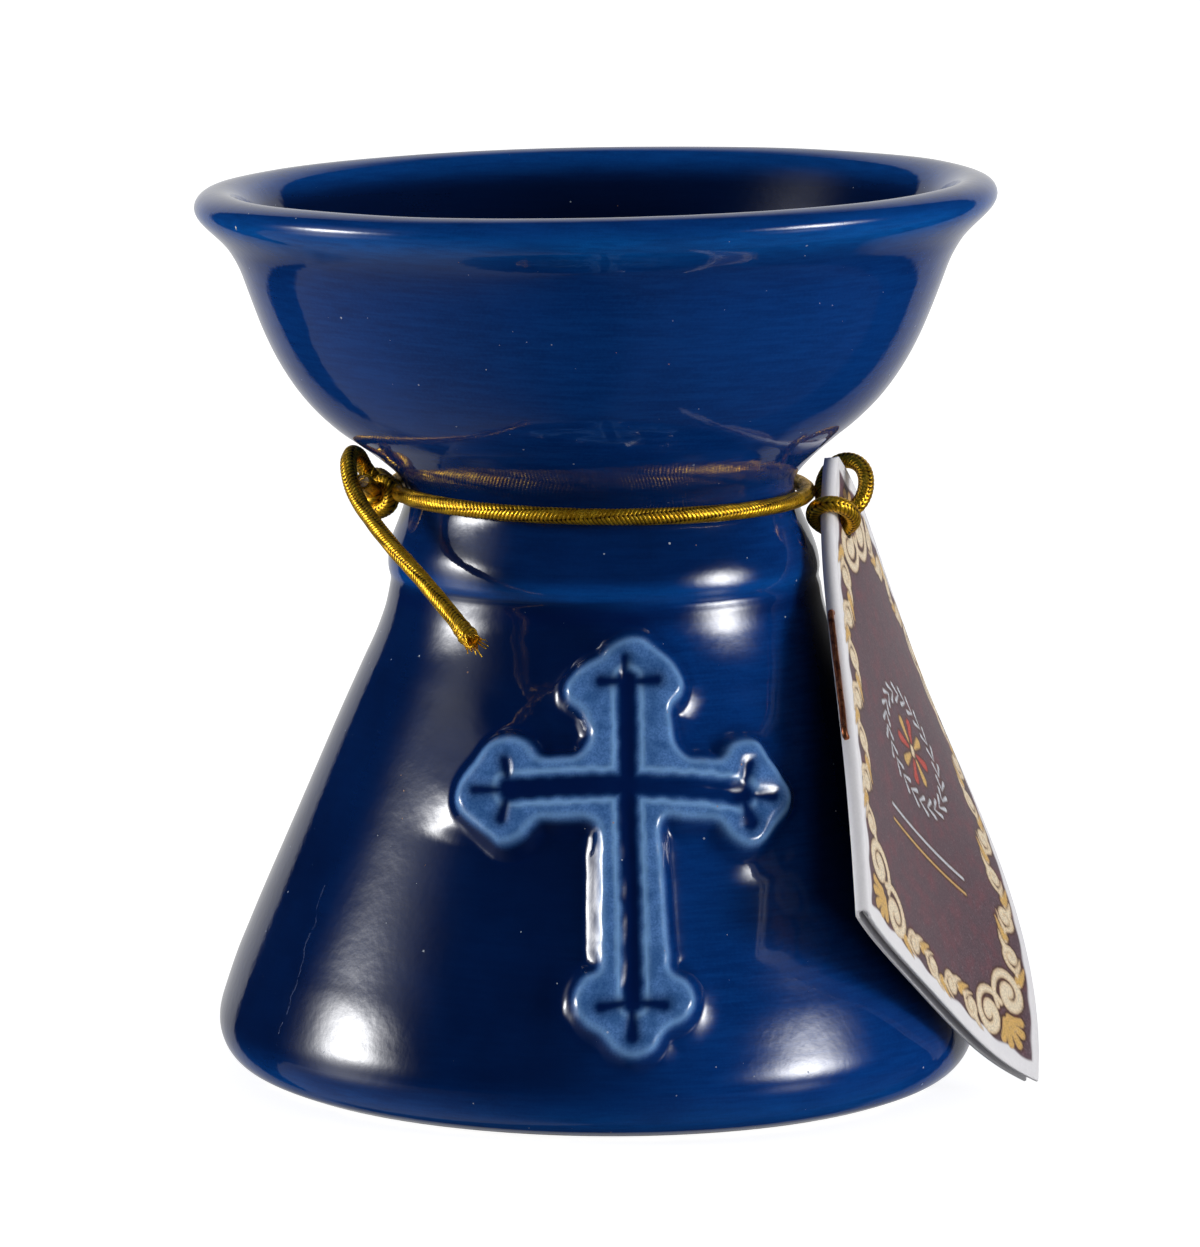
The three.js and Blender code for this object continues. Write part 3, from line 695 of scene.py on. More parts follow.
def thick_sheet(s_vals, t_mid, off_mid, thick, hole=True, wave=None):
    """A sheet swept down the fold: its section's middle line is (t_mid, off_mid). Returns points, faces, s, t, which side."""
    s_vals, t_mid, off_mid = map(lambda a: np.asarray(a, float), (s_vals, t_mid, off_mid))
    dt, do = np.gradient(t_mid), np.gradient(off_mid)
    ln = np.hypot(dt, do)
    nt, no = -do / ln, dt / ln
    S, Tm = np.meshgrid(s_vals, t_mid, indexing="ij")
    Om = np.broadcast_to(off_mid, S.shape).copy()
    if wave is not None:
        Om = Om + wave(S, Tm)
    if hole:
        ds, dtt = S - HOLE_S, Tm - HOLE_T
        rho = np.hypot(ds, dtt)
        step = 0.5 * (s_vals[1] - s_vals[0]) + 0.5 * abs(np.interp(HOLE_T, t_mid[np.argsort(t_mid)], ln[np.argsort(t_mid)]))
        near = (rho > HOLE_R - 0.75 * step) & (rho < HOLE_R + 0.45 * step) & (Om > -2)
        scale = np.where(near, HOLE_R / np.maximum(rho, 1e-6), 1.0)
        S, Tm = HOLE_S + ds * scale, HOLE_T + dtt * scale
    h = thick / 2
    top = tag_point(S, Tm + nt * h, Om + no * h)
    bot = tag_point(S, Tm - nt * h, Om - no * h)
    rows, cols = S.shape
    quads = grid_faces(rows, cols, False)
    if hole:
        cs = S.ravel()[quads].mean(1)
        ct = Tm.ravel()[quads].mean(1)
        quads = quads[np.hypot(cs - HOLE_S, ct - HOLE_T) > HOLE_R * 0.995]
    n = rows * cols
    edges = {}
    for q in quads.tolist():
        for a, b in ((q[0], q[1]), (q[1], q[2]), (q[2], q[3]), (q[3], q[0])):
            if (b, a) in edges:
                del edges[(b, a)]
            else:
                edges[(a, b)] = 1
    walls = [[b, a, a + n, b + n] for a, b in edges]
    faces = quads.tolist() + (quads[:, ::-1] + n).tolist() + walls
    verts = np.vstack([top.reshape(-1, 3), bot.reshape(-1, 3)])
    used = np.zeros(2 * n, bool)
    used[np.unique(np.concatenate([np.array(x).ravel() for x in (quads, quads + n)]))] = True
    remap = np.cumsum(used) - 1
    faces = [[int(remap[i]) for i in q] for q in faces]
    side = np.r_[np.zeros(n), np.ones(n)]
    ss, tt = np.tile(S.ravel(), 2), np.tile(Tm.ravel(), 2)
    return verts[used], faces, ss[used], tt[used], side[used]


# ---------- printed design: a running scroll border, corner rosettes, a small rosette in the middle ----------
def scroll(cx, cy, r, a0, turns, hand, n=26, open_to=None):
    u = np.linspace(0, 1, n)
    a = a0 + hand * 2 * np.pi * turns * u
    rad = r * (1 - 0.86 * u ** 0.85)
    return np.column_stack([cx + rad * np.cos(a), cy + rad * np.sin(a)])


def strokes():
    """(polyline in s,t, width at its start, width at its end, tone) for the whole border."""
    out = []
    m = 2.7  # line of the border, in from the edges

    def run(p0, p1, count, inward):
        p0, p1 = np.array(p0, float), np.array(p1, float)
        d = (p1 - p0) / count
        ln = np.linalg.norm(d)
        ux = d / ln
        uy = np.array(inward, float)
        to = lambda pts: p0 + np.outer(pts[:, 0], ux) + np.outer(pts[:, 1], uy)
        for k in range(count):
            x0 = k * ln
            up_ = 1 if k % 2 == 0 else -1
            a = scroll(x0 + ln * 0.60, 0.10 * up_, ln * 0.30, math.pi * (1.0 if up_ > 0 else -1.0), 1.15, -up_)
            lead = np.array([[x0 - ln * 0.05, -0.55 * up_], [x0 + ln * 0.12, -0.62 * up_], [x0 + ln * 0.25, -0.32 * up_]])
            out.append((to(np.vstack([lead, a])), 0.24, 0.54, 0))
            leaf = np.array([[x0 + ln * 0.06, -0.60 * up_], [x0 + ln * 0.22, -1.15 * up_], [x0 + ln * 0.46, -1.62 * up_]])
            out.append((to(leaf), 0.56, 0.10, 1))
            leaf2 = np.array([[x0 + ln * 0.74, 0.78 * up_], [x0 + ln * 0.92, 1.30 * up_], [x0 + ln * 1.12, 1.55 * up_]])
            out.append((to(leaf2), 0.50, 0.08, 0))
            leaf3 = np.array([[x0 + ln * 0.30, -0.50 * up_], [x0 + ln * 0.46, -0.98 * up_], [x0 + ln * 0.66, -1.22 * up_]])
            out.append((to(leaf3), 0.34, 0.06, 0))

    L_, W_ = TAG_L, TAG_W
    run((m + 6.0, 2.35), (L_ - m - 6.2, 2.35), 7, (0, 1))
    run((L_ - m - 6.2, W_ - m), (m + 6.0, W_ - m), 7, (0, -1))
    run((L_ - m - 0.3, m + 6.2), (L_ - m - 0.3, W_ - m - 6.2), 4, (-1, 0))
    run((m, W_ - m - 6.2), (m, m + 6.2), 4, (1, 0))
    for cs, ct, ds, dt in ((m, m, 1, 1), (m, W_ - m, 1, -1), (L_ - m, m, -1, 1), (L_ - m, W_ - m, -1, -1)):
        cx, cy = cs + 2.0 * ds, ct + 2.0 * dt
        out.append((scroll(cx + 2.4 * ds, cy - 0.9 * dt, 2.7, math.atan2(dt, -ds), 1.35, -ds * dt), 0.34, 0.80, 0))
        out.append((scroll(cx - 0.9 * ds, cy + 2.4 * dt, 2.7, math.atan2(-dt, ds), 1.35, ds * dt), 0.34, 0.80, 0))
        for q in range(5):
            a = math.atan2(-dt, -ds) + (q - 2) * 0.42
            p = np.array([cx, cy]) + 0.5 * np.array([math.cos(a), math.sin(a)])
            e = np.array([cx, cy]) + (3.0 - 0.3 * abs(q - 2)) * np.array([math.cos(a), math.sin(a)])
            out.append((np.array([p, (p + e) / 2 + 0.1, e]), 0.26, 0.46, 1))
    # middle: a rosette in an oval wreath of small leaves, between two ruled lines
    cx, cy = TAG_L * 0.45, TAG_W * 0.50
    for q in range(8):
        a = q * math.pi / 4
        d = np.array([math.cos(a), math.sin(a)])
        out.append((np.array([[cx, cy] + d * 1.0, [cx, cy] + d * 1.9, [cx, cy] + d * 2.9]), 0.18, 0.50, 1 if q % 2 else 3))
    out.append((np.array([[cx - 0.2, cy], [cx, cy], [cx + 0.2, cy]]), 0.42, 0.42, 0))
    for q in range(22):
        a = q * 2 * math.pi / 22
        for lean in (-0.17, 0.17):
            b0 = np.array([cx + 5.2 * math.cos(a), cy + 6.4 * math.sin(a)])
            b1 = np.array([cx + (5.2 + 4.6 * lean) * math.cos(a + 0.22), cy + (6.4 + 4.6 * lean) * math.sin(a + 0.22)])
            out.append((np.array([b0, (b0 + b1) / 2, b1]), 0.06, 0.23, 2))
    for x in (9.6, 11.2):
        out.append((np.array([[cx + x, cy - 7.5], [cx + x, cy], [cx + x, cy + 7.5]]), 0.14, 0.14, 1 if x > 10 else 2))
    return out


def paint(s, t):
    """Ink colour (linear) and how much ink at each point."""
    ground = np.array([0.128, 0.078, 0.096])
    tones = np.array([[0.84, 0.72, 0.52], [0.72, 0.45, 0.13], [0.60, 0.62, 0.66], [0.56, 0.075, 0.055]])
    gold, line = np.array([0.62, 0.38, 0.15]), np.array([0.085, 0.035, 0.026])
    n = len(s)
    best = np.full(n, 9.0)
    tone = np.zeros(n)
    inner = np.full(n, 9.0)
    P = np.column_stack([s, t])
    for pts, w0, w1, kind in strokes():
        lo, hi = pts.min(0) - 1.1, pts.max(0) + 1.1
        idx = np.nonzero((P[:, 0] > lo[0]) & (P[:, 0] < hi[0]) & (P[:, 1] > lo[1]) & (P[:, 1] < hi[1]))[0]
        if not len(idx):
            continue
        q = P[idx][:, None, :]
        a, b = pts[:-1][None], pts[1:][None]
        ab = b - a
        u = np.clip(((q - a) * ab).sum(-1) / np.maximum((ab ** 2).sum(-1), 1e-9), 0, 1)
        dist = np.linalg.norm(q - (a + ab * u[..., None]), axis=-1)
        k = (np.arange(len(pts) - 1)[None] + u) / (len(pts) - 1)
        width = w0 + (w1 - w0) * k
        d = (dist - width).min(1)
        better = d < best[idx]
        best[idx] = np.where(better, d, best[idx])
        tone[idx] = np.where(better, kind, tone[idx])
    edge = np.minimum(np.minimum(s, TAG_L - s), np.minimum(t, TAG_W - t))
    field = np.minimum(np.minimum(s - 1.3, TAG_L - 1.7 - s), np.minimum(t - 1.05, TAG_W - 0.9 - t))
    wav = 0.20 * np.sin(s * 1.55) * np.sin(t * 1.4 + 0.6)
    panel = smooth(-0.15, 0.15, field + wav)
    fill = 1 - smooth(-0.05, 0.06, best)
    rim = (1 - smooth(0.14, 0.32, best)) * (1 - fill) * panel
    col = ground[None] * np.ones((n, 1))
    light = tones[tone.astype(int)]
    shade = smooth(-0.34, -0.02, best)[:, None] * (tone < 2)[:, None]
    light = light * (1 - shade) + (0.45 * light + 0.55 * gold[None]) * shade
    col = col * (1 - rim[:, None]) + line[None] * rim[:, None]
    col = col * (1 - fill[:, None]) + light * fill[:, None]
    amount = np.clip(np.maximum(panel, np.maximum(fill, rim)), 0, 1)
    outside = (1 - panel)
    amount = np.where(edge < 0.35, 0.0, amount)
    return col, amount


s_fine = np.linspace(0, TAG_L, 372)
fold = np.radians(np.linspace(268, 92, 15))
t_fold, o_fold = 0.24 + 0.53 * np.cos(fold), MID + 0.53 * np.sin(fold)
t_flat = np.r_[np.arange(0.42, 9.0, 0.15), np.arange(9.0, 23.5, 0.22), np.arange(23.5, TAG_W, 0.15), TAG_W]
v, f, ss, tt, side = thick_sheet(s_fine[::2], np.r_[t_fold, 0.32, 0.405], np.r_[o_fold, -0.12, -0.12], 0.24, hole=False)
# the fold's outer corners are worn back a little
worn = np.clip((0.30 - tt) / 0.55, 0, 1)
down = (S1 - S0) / TAG_L
v = v + down * (worn * 0.48 * np.clip(1 - ss / 1.5, 0, 1))[:, None] - down * (worn * 0.30 * np.clip(1 - (TAG_L - ss) / 1.2, 0, 1))[:, None]
fold_o = make("tag_fold", v, f, PAPER, "tag")
v, f, ss, tt, side = thick_sheet(s_fine, t_flat, np.full(len(t_flat), -0.12), 0.24)
ink, amount = paint(ss, tt)
outer = (side == 0) & (tt > 0.5)
amount = np.where(outer, amount, 0.0)
cover = make("tag_front", v, f, PRINTED, "tag_leaf", {"inked": amount}, {"ink": ink})
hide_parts("tag_cover_front")

s_mid = np.linspace(0.3, TAG_L - 0.2, 200)
t_back = np.r_[np.arange(0.36, TAG_W - 0.4, 0.28), TAG_W - 0.4]
v, f, ss, tt, side = thick_sheet(s_mid, t_back, np.full(len(t_back), -1.175), 0.24)
ink, amount = paint(ss, TAG_W - tt)
# painted shade: the back cover's print darkened to a third, standing in for the shade it hangs in against the burner
ink = ink * 0.32
amount = np.where((side == 1) & (tt > 0.5), amount, 0.0)
back = make("tag_back", v, f, PRINTED, "tag", {"inked": amount}, {"ink": ink})
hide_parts("tag_cover_back")

s_leaf = np.linspace(0.6, TAG_L - 0.7, 120)
t_leaf = np.r_[np.arange(0.5, TAG_W - 0.9, 0.45), TAG_W - 0.9]
v, f, ss, tt, side = thick_sheet(s_leaf, t_leaf, np.full(len(t_leaf), -0.645), 0.2)
leaf = make("tag_leaf_inside", v, f, PAPER, "tag")
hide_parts("tag_inner_leaf")


# staple: flattened wire over the fold, legs through it and turned in
def wire(path, a, b, sides=18, first=(1, 0, 0)):
    T_, A_, B_ = frames(path, first)
    ph = np.linspace(0, 2 * np.pi, sides, endpoint=False)
    ring_ = (np.sign(np.cos(ph)) * np.abs(np.cos(ph)) ** 0.8 * a)[None, :, None] * A_[:, None] + (np.sign(np.sin(ph)) * np.abs(np.sin(ph)) ** 0.8 * b)[None, :, None] * B_[:, None]
    vv = (path[:, None] + ring_).reshape(-1, 3)
    ff_ = grid_faces(len(path), sides, True).tolist()
    vv = np.vstack([vv, path[:1], path[-1:]])
    k = len(vv)
    ff_ += [[(j + 1) % sides, j, k - 2] for j in range(sides)]
    e = (len(path) - 1) * sides
    ff_ += [[e + j, e + (j + 1) % sides, k - 1] for j in range(sides)]
    return vv, ff_


ST_A, ST_B = 16.6, 29.5
crown = []
for sv in np.linspace(ST_A + 0.35, ST_B - 0.35, 14):
    crown.append(tag_point(sv, 0.24, MID) + TW * (-0.98 + 0.02 * math.sin(sv * 1.7)))
c0, c1 = tag_point(ST_A, 0.24, MID), tag_point(ST_B, 0.24, MID)
pts = [c0 + TW * 2.2, c0 + TW * 1.0, c0 - TW * 0.4, c0 - TW * 0.8, *crown, c1 - TW * 0.8, c1 - TW * 0.4, c1 + TW * 1.0, c1 + TW * 2.2]
sp, _ = spline(pts, 0.12)
v, f = wire(sp, 0.27, 0.30)
staple = make("tag_wire", v, f, COPPER, "tag")
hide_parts("tag_staple")

# hitch: one turn round the fold, one over the top edge
eps = 1.0
Sd = tag_point(HOLE_S + eps, HOLE_T) - tag_point(HOLE_S - eps, HOLE_T)
Sd /= np.linalg.norm(Sd)
Nd = tag_point(HOLE_S, HOLE_T, 1.0) - tag_point(HOLE_S, HOLE_T)
Nd /= np.linalg.norm(Nd)
Wd = np.cross(Nd, Sd)
Wd /= np.linalg.norm(Wd)


def loop(centre, u, ru, v_, rv, start_deg, sweep=366.0):
    a = np.radians(start_deg + np.linspace(0, sweep, 28))
    pts_ = [centre + u * ru * math.cos(x) + v_ * rv * math.sin(x) for x in a]
    return spline(pts_, 0.06)[0]


fold_at = tag_point(5.6, 3.3, MID) - Wd * 2.15 + Nd * 0.12
v, f, c = braid(loop(fold_at, Wd, 2.15, Nd, 1.66, 0), phase=0.2, first=Sd)
o = make("cord_hitch_fold", v, f, GOLD, "tag", {"crevice_shade": c})
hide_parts("cord_hitch_round")
half = (4.35 + 1.15) / 2
edge_at = tag_point(4.35, 2.75, MID) - Sd * half + Nd * 0.55
v, f, c = braid(loop(edge_at, Sd, half, Nd, 2.08, 0), phase=0.55, first=Wd)
o = make("cord_hitch_edge", v, f, GOLD, "tag", {"crevice_shade": c})
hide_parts("cord_hitch_over")


# =====================================================================
# glazed ceramic: turned body with the raised cross in one skin
# =====================================================================
OUTER = np.array([
    [28.6, 0], [30.3, 0.4], [32.5, 1.3], [33.5, 2.5], [34.0, 4.0], [33.95, 5.5], [33.35, 7.5], [32.35, 10.7], [30.53, 15.2],
    [28.68, 19.7], [26.83, 24.2], [25.02, 28.7], [23.28, 33.1], [21.27, 37.6], [20.28, 39.8], [19.72, 41.5], [19.4, 43.0],
    [19.22, 44.2], [19.0, 44.8], [19.27, 45.5], [19.22, 46.4], [19.13, 47.0], [19.05, 47.4], [18.93, 47.8], [18.79, 48.2], [18.55, 48.8],
    [18.29, 49.4], [18.03, 50.0], [17.80, 50.6], [17.58, 51.2], [17.42, 51.7], [17.31, 52.2], [17.28, 52.8], [17.36, 53.4], [17.8, 54.1], [19.0, 55.3], [20.3, 56.4], [22.15, 57.8], [24.3, 59.3], [26.7, 62.1],
    [28.6, 65.3], [29.9, 68.4], [30.93, 71.6], [31.65, 73.3], [32.6, 74.9], [33.6, 75.9], [34.6, 76.8], [35.35, 77.6],
    [35.65, 78.4], [35.3, 79.25], [34.5, 79.8], [33.4, 80.0]])
BOWL = np.array([
    [32.3, 79.8], [31.4, 79.2], [30.8, 78.2], [30.1, 76.8], [29.2, 74.9], [28.2, 72.4], [27.3, 69.4], [26.2, 66.6],
    [24.4, 63.6], [21.7, 60.5], [18.6, 58.0], [15.0, 55.9], [10.5, 54.3], [5.5, 53.4], [0.0, 53.1]])
BASE = np.array([
    [25.2, 0], [26.0, 1.4], [27.7, 4.2], [27.9, 7.2], [26.9, 11.0], [24.6, 17.0], [22.0, 23.5], [19.5, 30.0], [17.2, 35.5],
    [15.3, 40.5], [13.2, 44.0], [9.5, 46.3], [4.8, 47.3], [0.0, 47.6]])
AXIS_Z, AXIS_X = [0, 44, 48, 52, 58, 68, 80], [0.9, 1.25, 0.9, 0.72, 0.1, 0, 0]
TILT_Z, TILT = [0, 44, 58, 80], [0, 0.0155, 0.02, 0.03]

rough_line = np.vstack([BASE[::-1], OUTER, BOWL])
zone = np.r_[np.zeros(len(BASE)), np.ones(len(OUTER)), np.full(len(BOWL), 2.0)]
d = along(rough_line)
ds = 0.05
sa = np.arange(0, d[-1], ds)
line = np.column_stack([np.interp(sa, d, rough_line[:, 0]), np.interp(sa, d, rough_line[:, 1])])
which = np.round(np.interp(sa, d, zone))
pad = 240
mirror = np.array([-1.0, 1.0])
wide = np.vstack([(line[1:pad + 1] * mirror)[::-1], line, (line[-pad - 1:-1] * mirror)[::-1]])


def blurred(sigma):
    k = np.arange(-pad, pad + 1) * ds
    g = np.exp(-0.5 * (k / sigma) ** 2)
    g /= g.sum()
    return np.column_stack([np.convolve(wide[:, i], g, "valid") for i in (0, 1)])


levels = [0.12, 0.3, 0.55, 0.9, 1.6, 3.2]
blurs = [blurred(x) for x in levels]
z0, r0 = line[:, 1], line[:, 0]
want = np.full(len(line), 1.1)
out_ = which == 1
want[out_ & (z0 > 8) & (z0 < 42)] = 1.6
want[out_ & (z0 > 12) & (z0 < 38)] = 3.2
want[out_ & (z0 <= 8)] = 0.8
want[out_ & (z0 < 0.9)] = 0.3
want[out_ & (z0 >= 42) & (z0 <= 47)] = 0.35
want[out_ & (z0 > 47) & (z0 < 58)] = 0.42
want[out_ & (z0 >= 58) & (z0 < 72)] = 2.0
want[(which >= 1) & (z0 >= 72)] = 0.55
want[(which == 0) & (z0 < 2)] = 0.3
want[(z0 < 0.02)] = 0.12
k = np.exp(-0.5 * (np.arange(-60, 61) * ds / 0.9) ** 2)
want = np.convolve(np.pad(want, 60, mode="edge"), k / k.sum(), "valid")
line_s = np.zeros_like(line)
wsum = np.zeros(len(line))
for i in range(len(levels)):
    lo = levels[i - 1] if i else 0
    hi = levels[i + 1] if i + 1 < len(levels) else 9
    w = np.where(want <= levels[i], np.clip((want - lo) / (levels[i] - lo), 0, 1) if i else 1.0, np.clip((hi - want) / (hi - levels[i]), 0, 1) if i + 1 < len(levels) else 1.0)
    line_s += blurs[i] * w[:, None]
    wsum += w
line_s /= wsum[:, None]
line_s[:, 1] = np.maximum(line_s[:, 1], 0.0)
line_s[0, 0] = line_s[-1, 0] = 0.0

# rows: close together where the relief is, and on the lip, collar and foot
sl = along(line_s)
zz = line_s[:, 1]
space = np.full(len(line_s), 1.4)
o1 = which == 1
space[o1 & (zz > 5.0) & (zz < 45.5)] = 0.22
space[o1 & (zz <= 5.0)] = 0.4
space[o1 & (zz >= 45.5) & (zz < 58)] = 0.4
space[o1 & (zz >= 58) & (zz < 72)] = 0.85
space[(which >= 1) & (zz >= 72)] = 0.4
space[(which == 0) & (zz < 3)] = 0.5
kk = np.exp(-0.5 * (np.arange(-80, 81) * ds / 1.2) ** 2)
space = np.convolve(np.pad(space, 80, mode="edge"), kk / kk.sum(), "valid")
count = np.r_[0, np.cumsum(np.diff(sl) / space[1:])]
n_rows = int(count[-1])
row_s = np.interp(np.linspace(0, count[-1], n_rows + 1), count, sl)
R = np.interp(row_s, sl, line_s[:, 0])
Z = np.interp(row_s, sl, line_s[:, 1])
row_zone = np.interp(row_s, sl, which)
tr, tz = np.gradient(R, row_s), np.gradient(Z, row_s)
tl = np.hypot(tr, tz)
nr, nz = tz / tl, -tr / tl  # outward: the line runs up the outside

# columns: close together across the cross
deg = np.arange(-180, 180, 0.02)
dens = np.where((deg > -127) & (deg < -40), 0.48, 2.0)
kk = np.exp(-0.5 * (np.arange(-300, 301) * 0.02 / 2.2) ** 2)
dens = np.convolve(np.r_[dens[-300:], dens, dens[:300]], kk / kk.sum(), "valid")
cc = np.r_[0, np.cumsum(0.02 / dens)]
n_cols = int(cc[-1])
theta = np.radians(np.interp(np.arange(n_cols) * cc[-1] / n_cols, cc, np.r_[deg, 180.0]))
ct, st = np.cos(theta)[None], np.sin(theta)[None]
Rg, Zg = R[:, None], Z[:, None]
X, Y, ZZ = Rg * ct, Rg * st, Zg + 0 * ct
NX, NY, NZ = nr[:, None] * ct, nr[:, None] * st, nz[:, None] + 0 * ct
outside = (row_zone > 0.5) & (row_zone < 1.5)
# the hand-finished surface is never quite even
P3 = np.stack([X, Y, ZZ], -1)
wob = 0.030 * bumpy(P3 / 19.0, 3) + 0.0022 * bumpy(P3 / 4.0, 8)
wob = wob * smooth(0.0, 3.0, ZZ)

OUT = [(3.2, 42.4), (4.47, 42.34), (5.87, 41.38), (7.28, 40.13), (8.11, 38.55), (7.94, 37.6), (7.06, 36.56), (7.12, 35.37), (7.46, 33.69), (8.49, 32.57), (9.88, 32.35),
       (11.41, 32.31), (12.04, 33.23), (13.19, 33.69), (14.6, 33.38), (15.63, 31.97), (16.67, 30.43), (17.53, 28.91), (17.38, 27.63), (16.3, 26.44), (15.15, 25.17),
       (13.88, 24.87), (12.22, 25.77), (11.06, 27.08), (9.92, 27.28), (8.15, 27.45), (6.76, 27.68), (6.26, 27.02), (6.41, 24.64), (6.64, 21.8), (6.84, 18.95), (7.11, 16.59),
       (7.25, 15.29), (8.76, 14.23), (9.35, 12.75), (8.66, 11.36), (6.79, 10.35), (5.93, 8.93), (4.81, 8.31), (3.56, 8.22), (2.3, 8.89), (1.29, 10.03), (-0.09, 10.85),
       (-1.11, 12.24), (-0.95, 13.65), (-0.14, 14.85), (0.93, 15.34), (0.98, 17.57), (0.94, 20.88), (0.9, 24.19), (0.72, 26.93), (-0.17, 27.46), (-2.43, 27.4), (-4.32, 27.28),
       (-4.95, 26.75), (-5.94, 25.67), (-7.7, 25.14), (-8.6, 25.69), (-9.63, 26.44), (-11.18, 27.49), (-11.58, 28.4), (-11.22, 29.98), (-10.09, 31.52), (-8.72, 33.31),
       (-7.2, 33.97), (-5.55, 33.71), (-4.39, 32.56), (-2.75, 32.5), (-0.86, 32.87), (0.01, 34.21), (-0.31, 35.52), (-0.77, 36.29), (-1.92, 37.14), (-2.16, 38.08),
       (-1.57, 39.17), (-0.32, 40.17), (0.82, 40.79), (1.82, 41.78)]
GROOVE_V = [(3.17, 38.81), (3.29, 34.15), (3.34, 29.36), (3.52, 24.59), (3.74, 19.85), (3.86, 15.6), (3.96, 12.77)]
GROOVE_H = [(-6.89, 29.65), (-2.72, 30.07), (1.31, 30.31), (3.33, 30.32), (6.36, 30.16), (9.91, 29.79), (13.22, 29.18)]
PETALS = [((2.94, 38.81), (2.92, 40.66)), ((2.94, 38.81), (0.91, 38.72)), ((3.37, 38.73), (5.72, 38.83)), ((-6.89, 29.65), (-7.26, 31.94)),
          ((-6.89, 29.65), (-9.87, 29.37)), ((-6.89, 29.65), (-7.54, 27.2)), ((13.22, 29.18), (13.77, 31.57)), ((13.22, 29.18), (15.87, 28.75)),
          ((13.22, 29.18), (13.95, 26.79)), ((3.89, 12.77), (1.14, 12.3)), ((3.89, 12.77), (6.65, 12.44)), ((3.89, 12.77), (3.92, 9.94))]


def to_line(q, pts):
    """Distance from points to a polyline, and how far along it (0 to 1)."""
    pts = np.asarray(pts, float)
    a, b = pts[:-1], pts[1:]
    best = np.full(len(q), 99.0)
    where = np.zeros(len(q))
    for i in range(len(a)):
        ab = b[i] - a[i]
        u = np.clip(((q - a[i]) @ ab) / max(ab @ ab, 1e-9), 0, 1)
        dd = np.linalg.norm(q - a[i] - u[:, None] * ab, axis=1)
        hit = dd < best
        best = np.where(hit, dd, best)
        where = np.where(hit, (i + u) / len(a), where)
    return best, where


def inside_poly(q, pts):
    x, y = q[:, 0], q[:, 1]
    res = np.zeros(len(q), bool)
    p = np.asarray(pts, float)
    for i in range(len(p)):
        x1, y1 = p[i - 1]
        x2, y2 = p[i]
        cross = (y1 > y) != (y2 > y)
        with np.errstate(divide="ignore", invalid="ignore"):
            xi = (x2 - x1) * (y - y1) / (y2 - y1) + x1
        res ^= cross & (x < xi)
    return res


warp_x = lambda z: np.interp(z, AXIS_Z, AXIS_X)
warp_t = lambda z: np.interp(z, TILT_Z, TILT)
XW = X + warp_x(ZZ)
ZW = ZZ + warp_t(ZZ) * X
front = outside[:, None] & (Y < -5) & (ZZ > 5.0) & (ZZ < 45.0) & (XW > -18) & (XW < 24)
q = np.column_stack([(XW + 1.45 * NX)[front], (ZW + 1.45 * NZ)[front]])
outline = spline(np.array(OUT), 0.4, closed=True)[0]
dist, _ = to_line(q, outline)
sd = np.where(inside_poly(q, outline), -dist, dist)
sd = sd + 0.014 * bumpy(q / 2.4, 21)
dv, _ = to_line(q, spline(np.array(GROOVE_V), 0.5)[0])
dh, _ = to_line(q, spline(np.array(GROOVE_H), 0.5)[0])
dg = np.minimum(dv - 0.80, dh - 0.88)
dp_ = np.full(len(q), 9.0)
for i, (a, b) in enumerate(PETALS):
    dp, u = to_line(q, [a, b])
    w0, w1 = {4: (0.26, 0.40), 3: (0.26, 0.42), 5: (0.26, 0.46), 8: (0.28, 0.66), 11: (0.26, 0.62), 0: (0.26, 0.36)}.get(i, (0.28, 0.48))
    dp_ = np.minimum(dp_, dp - (w0 + (w1 - w0) * u ** 1.5))
dg = dg + 0.014 * bumpy(q / 1.8, 22)
stem_left = smooth(26.5, 24.5, q[:, 1]) * smooth(15.0, 17.0, q[:, 1]) * smooth(3.0, 1.5, q[:, 0])
w_out = 1.25
t_ = np.clip((w_out - sd) / (w_out + 0.60), 0, 1)
S_ = (t_ * t_ * (3 - 2 * t_)) ** 1.3
reach = 3.2 + 2.1 * smooth(-7.0, -11.0, q[:, 0])
swell = np.clip(1 - np.maximum(sd, 0) / reach, 0, 1) ** 2 * smooth(5.0, 8.0, q[:, 1]) * smooth(44.6, 42.4, q[:, 1])
walls = 0.90 * S_ + 0.70 * swell
u_ = np.clip((1.30 - sd) / 1.74, 0, 1)
straight = 1.47 * (0.75 * u_ + 0.25 * u_ * u_ * (3 - 2 * u_)) + 0.12 * smooth(-0.4, -1.2, sd)
walls = walls * (1 - stem_left) + np.maximum(straight, 0) * stem_left
raise_ = walls + 0.13 * np.clip(1 - ((sd + 1.3) / 1.3) ** 2, 0, 1) * (sd < 0)
g_ = smooth(0.62, -0.80, dg)
gp_ = smooth(0.52, -0.36, dp_)
raise_ = raise_ - np.maximum(0.33 * g_, (0.22 - 0.09 * smooth(9.0, 12.0, q[:, 0])) * gp_) * smooth(0.2, -0.5, sd)
raise_ = raise_ + 0.03 * bumpy(q / 2.6, 23) * (sd < 0.2)
dg = dg + 0.06 * bumpy(q / 1.8, 24)
dall = np.minimum(dg, dp_ + 0.06)
H = np.zeros_like(X)
H[front] = raise_
plate = np.zeros_like(X)
plate[front] = smooth(0.42, -0.34, sd) * (1 - smooth(0.34, -0.34, dall))
edge = np.zeros_like(X)
edge[front] = (0.55 * np.exp(-((sd + 0.30) / 0.30) ** 2) + 0.85 * np.exp(-((dg - 0.42) / 0.24) ** 2)) * smooth(0.3, 0.0, sd)
pool = np.zeros_like(X)
across = smooth(1.0, 0.2, dh - 0.88) * smooth(0.3, 1.4, dv)
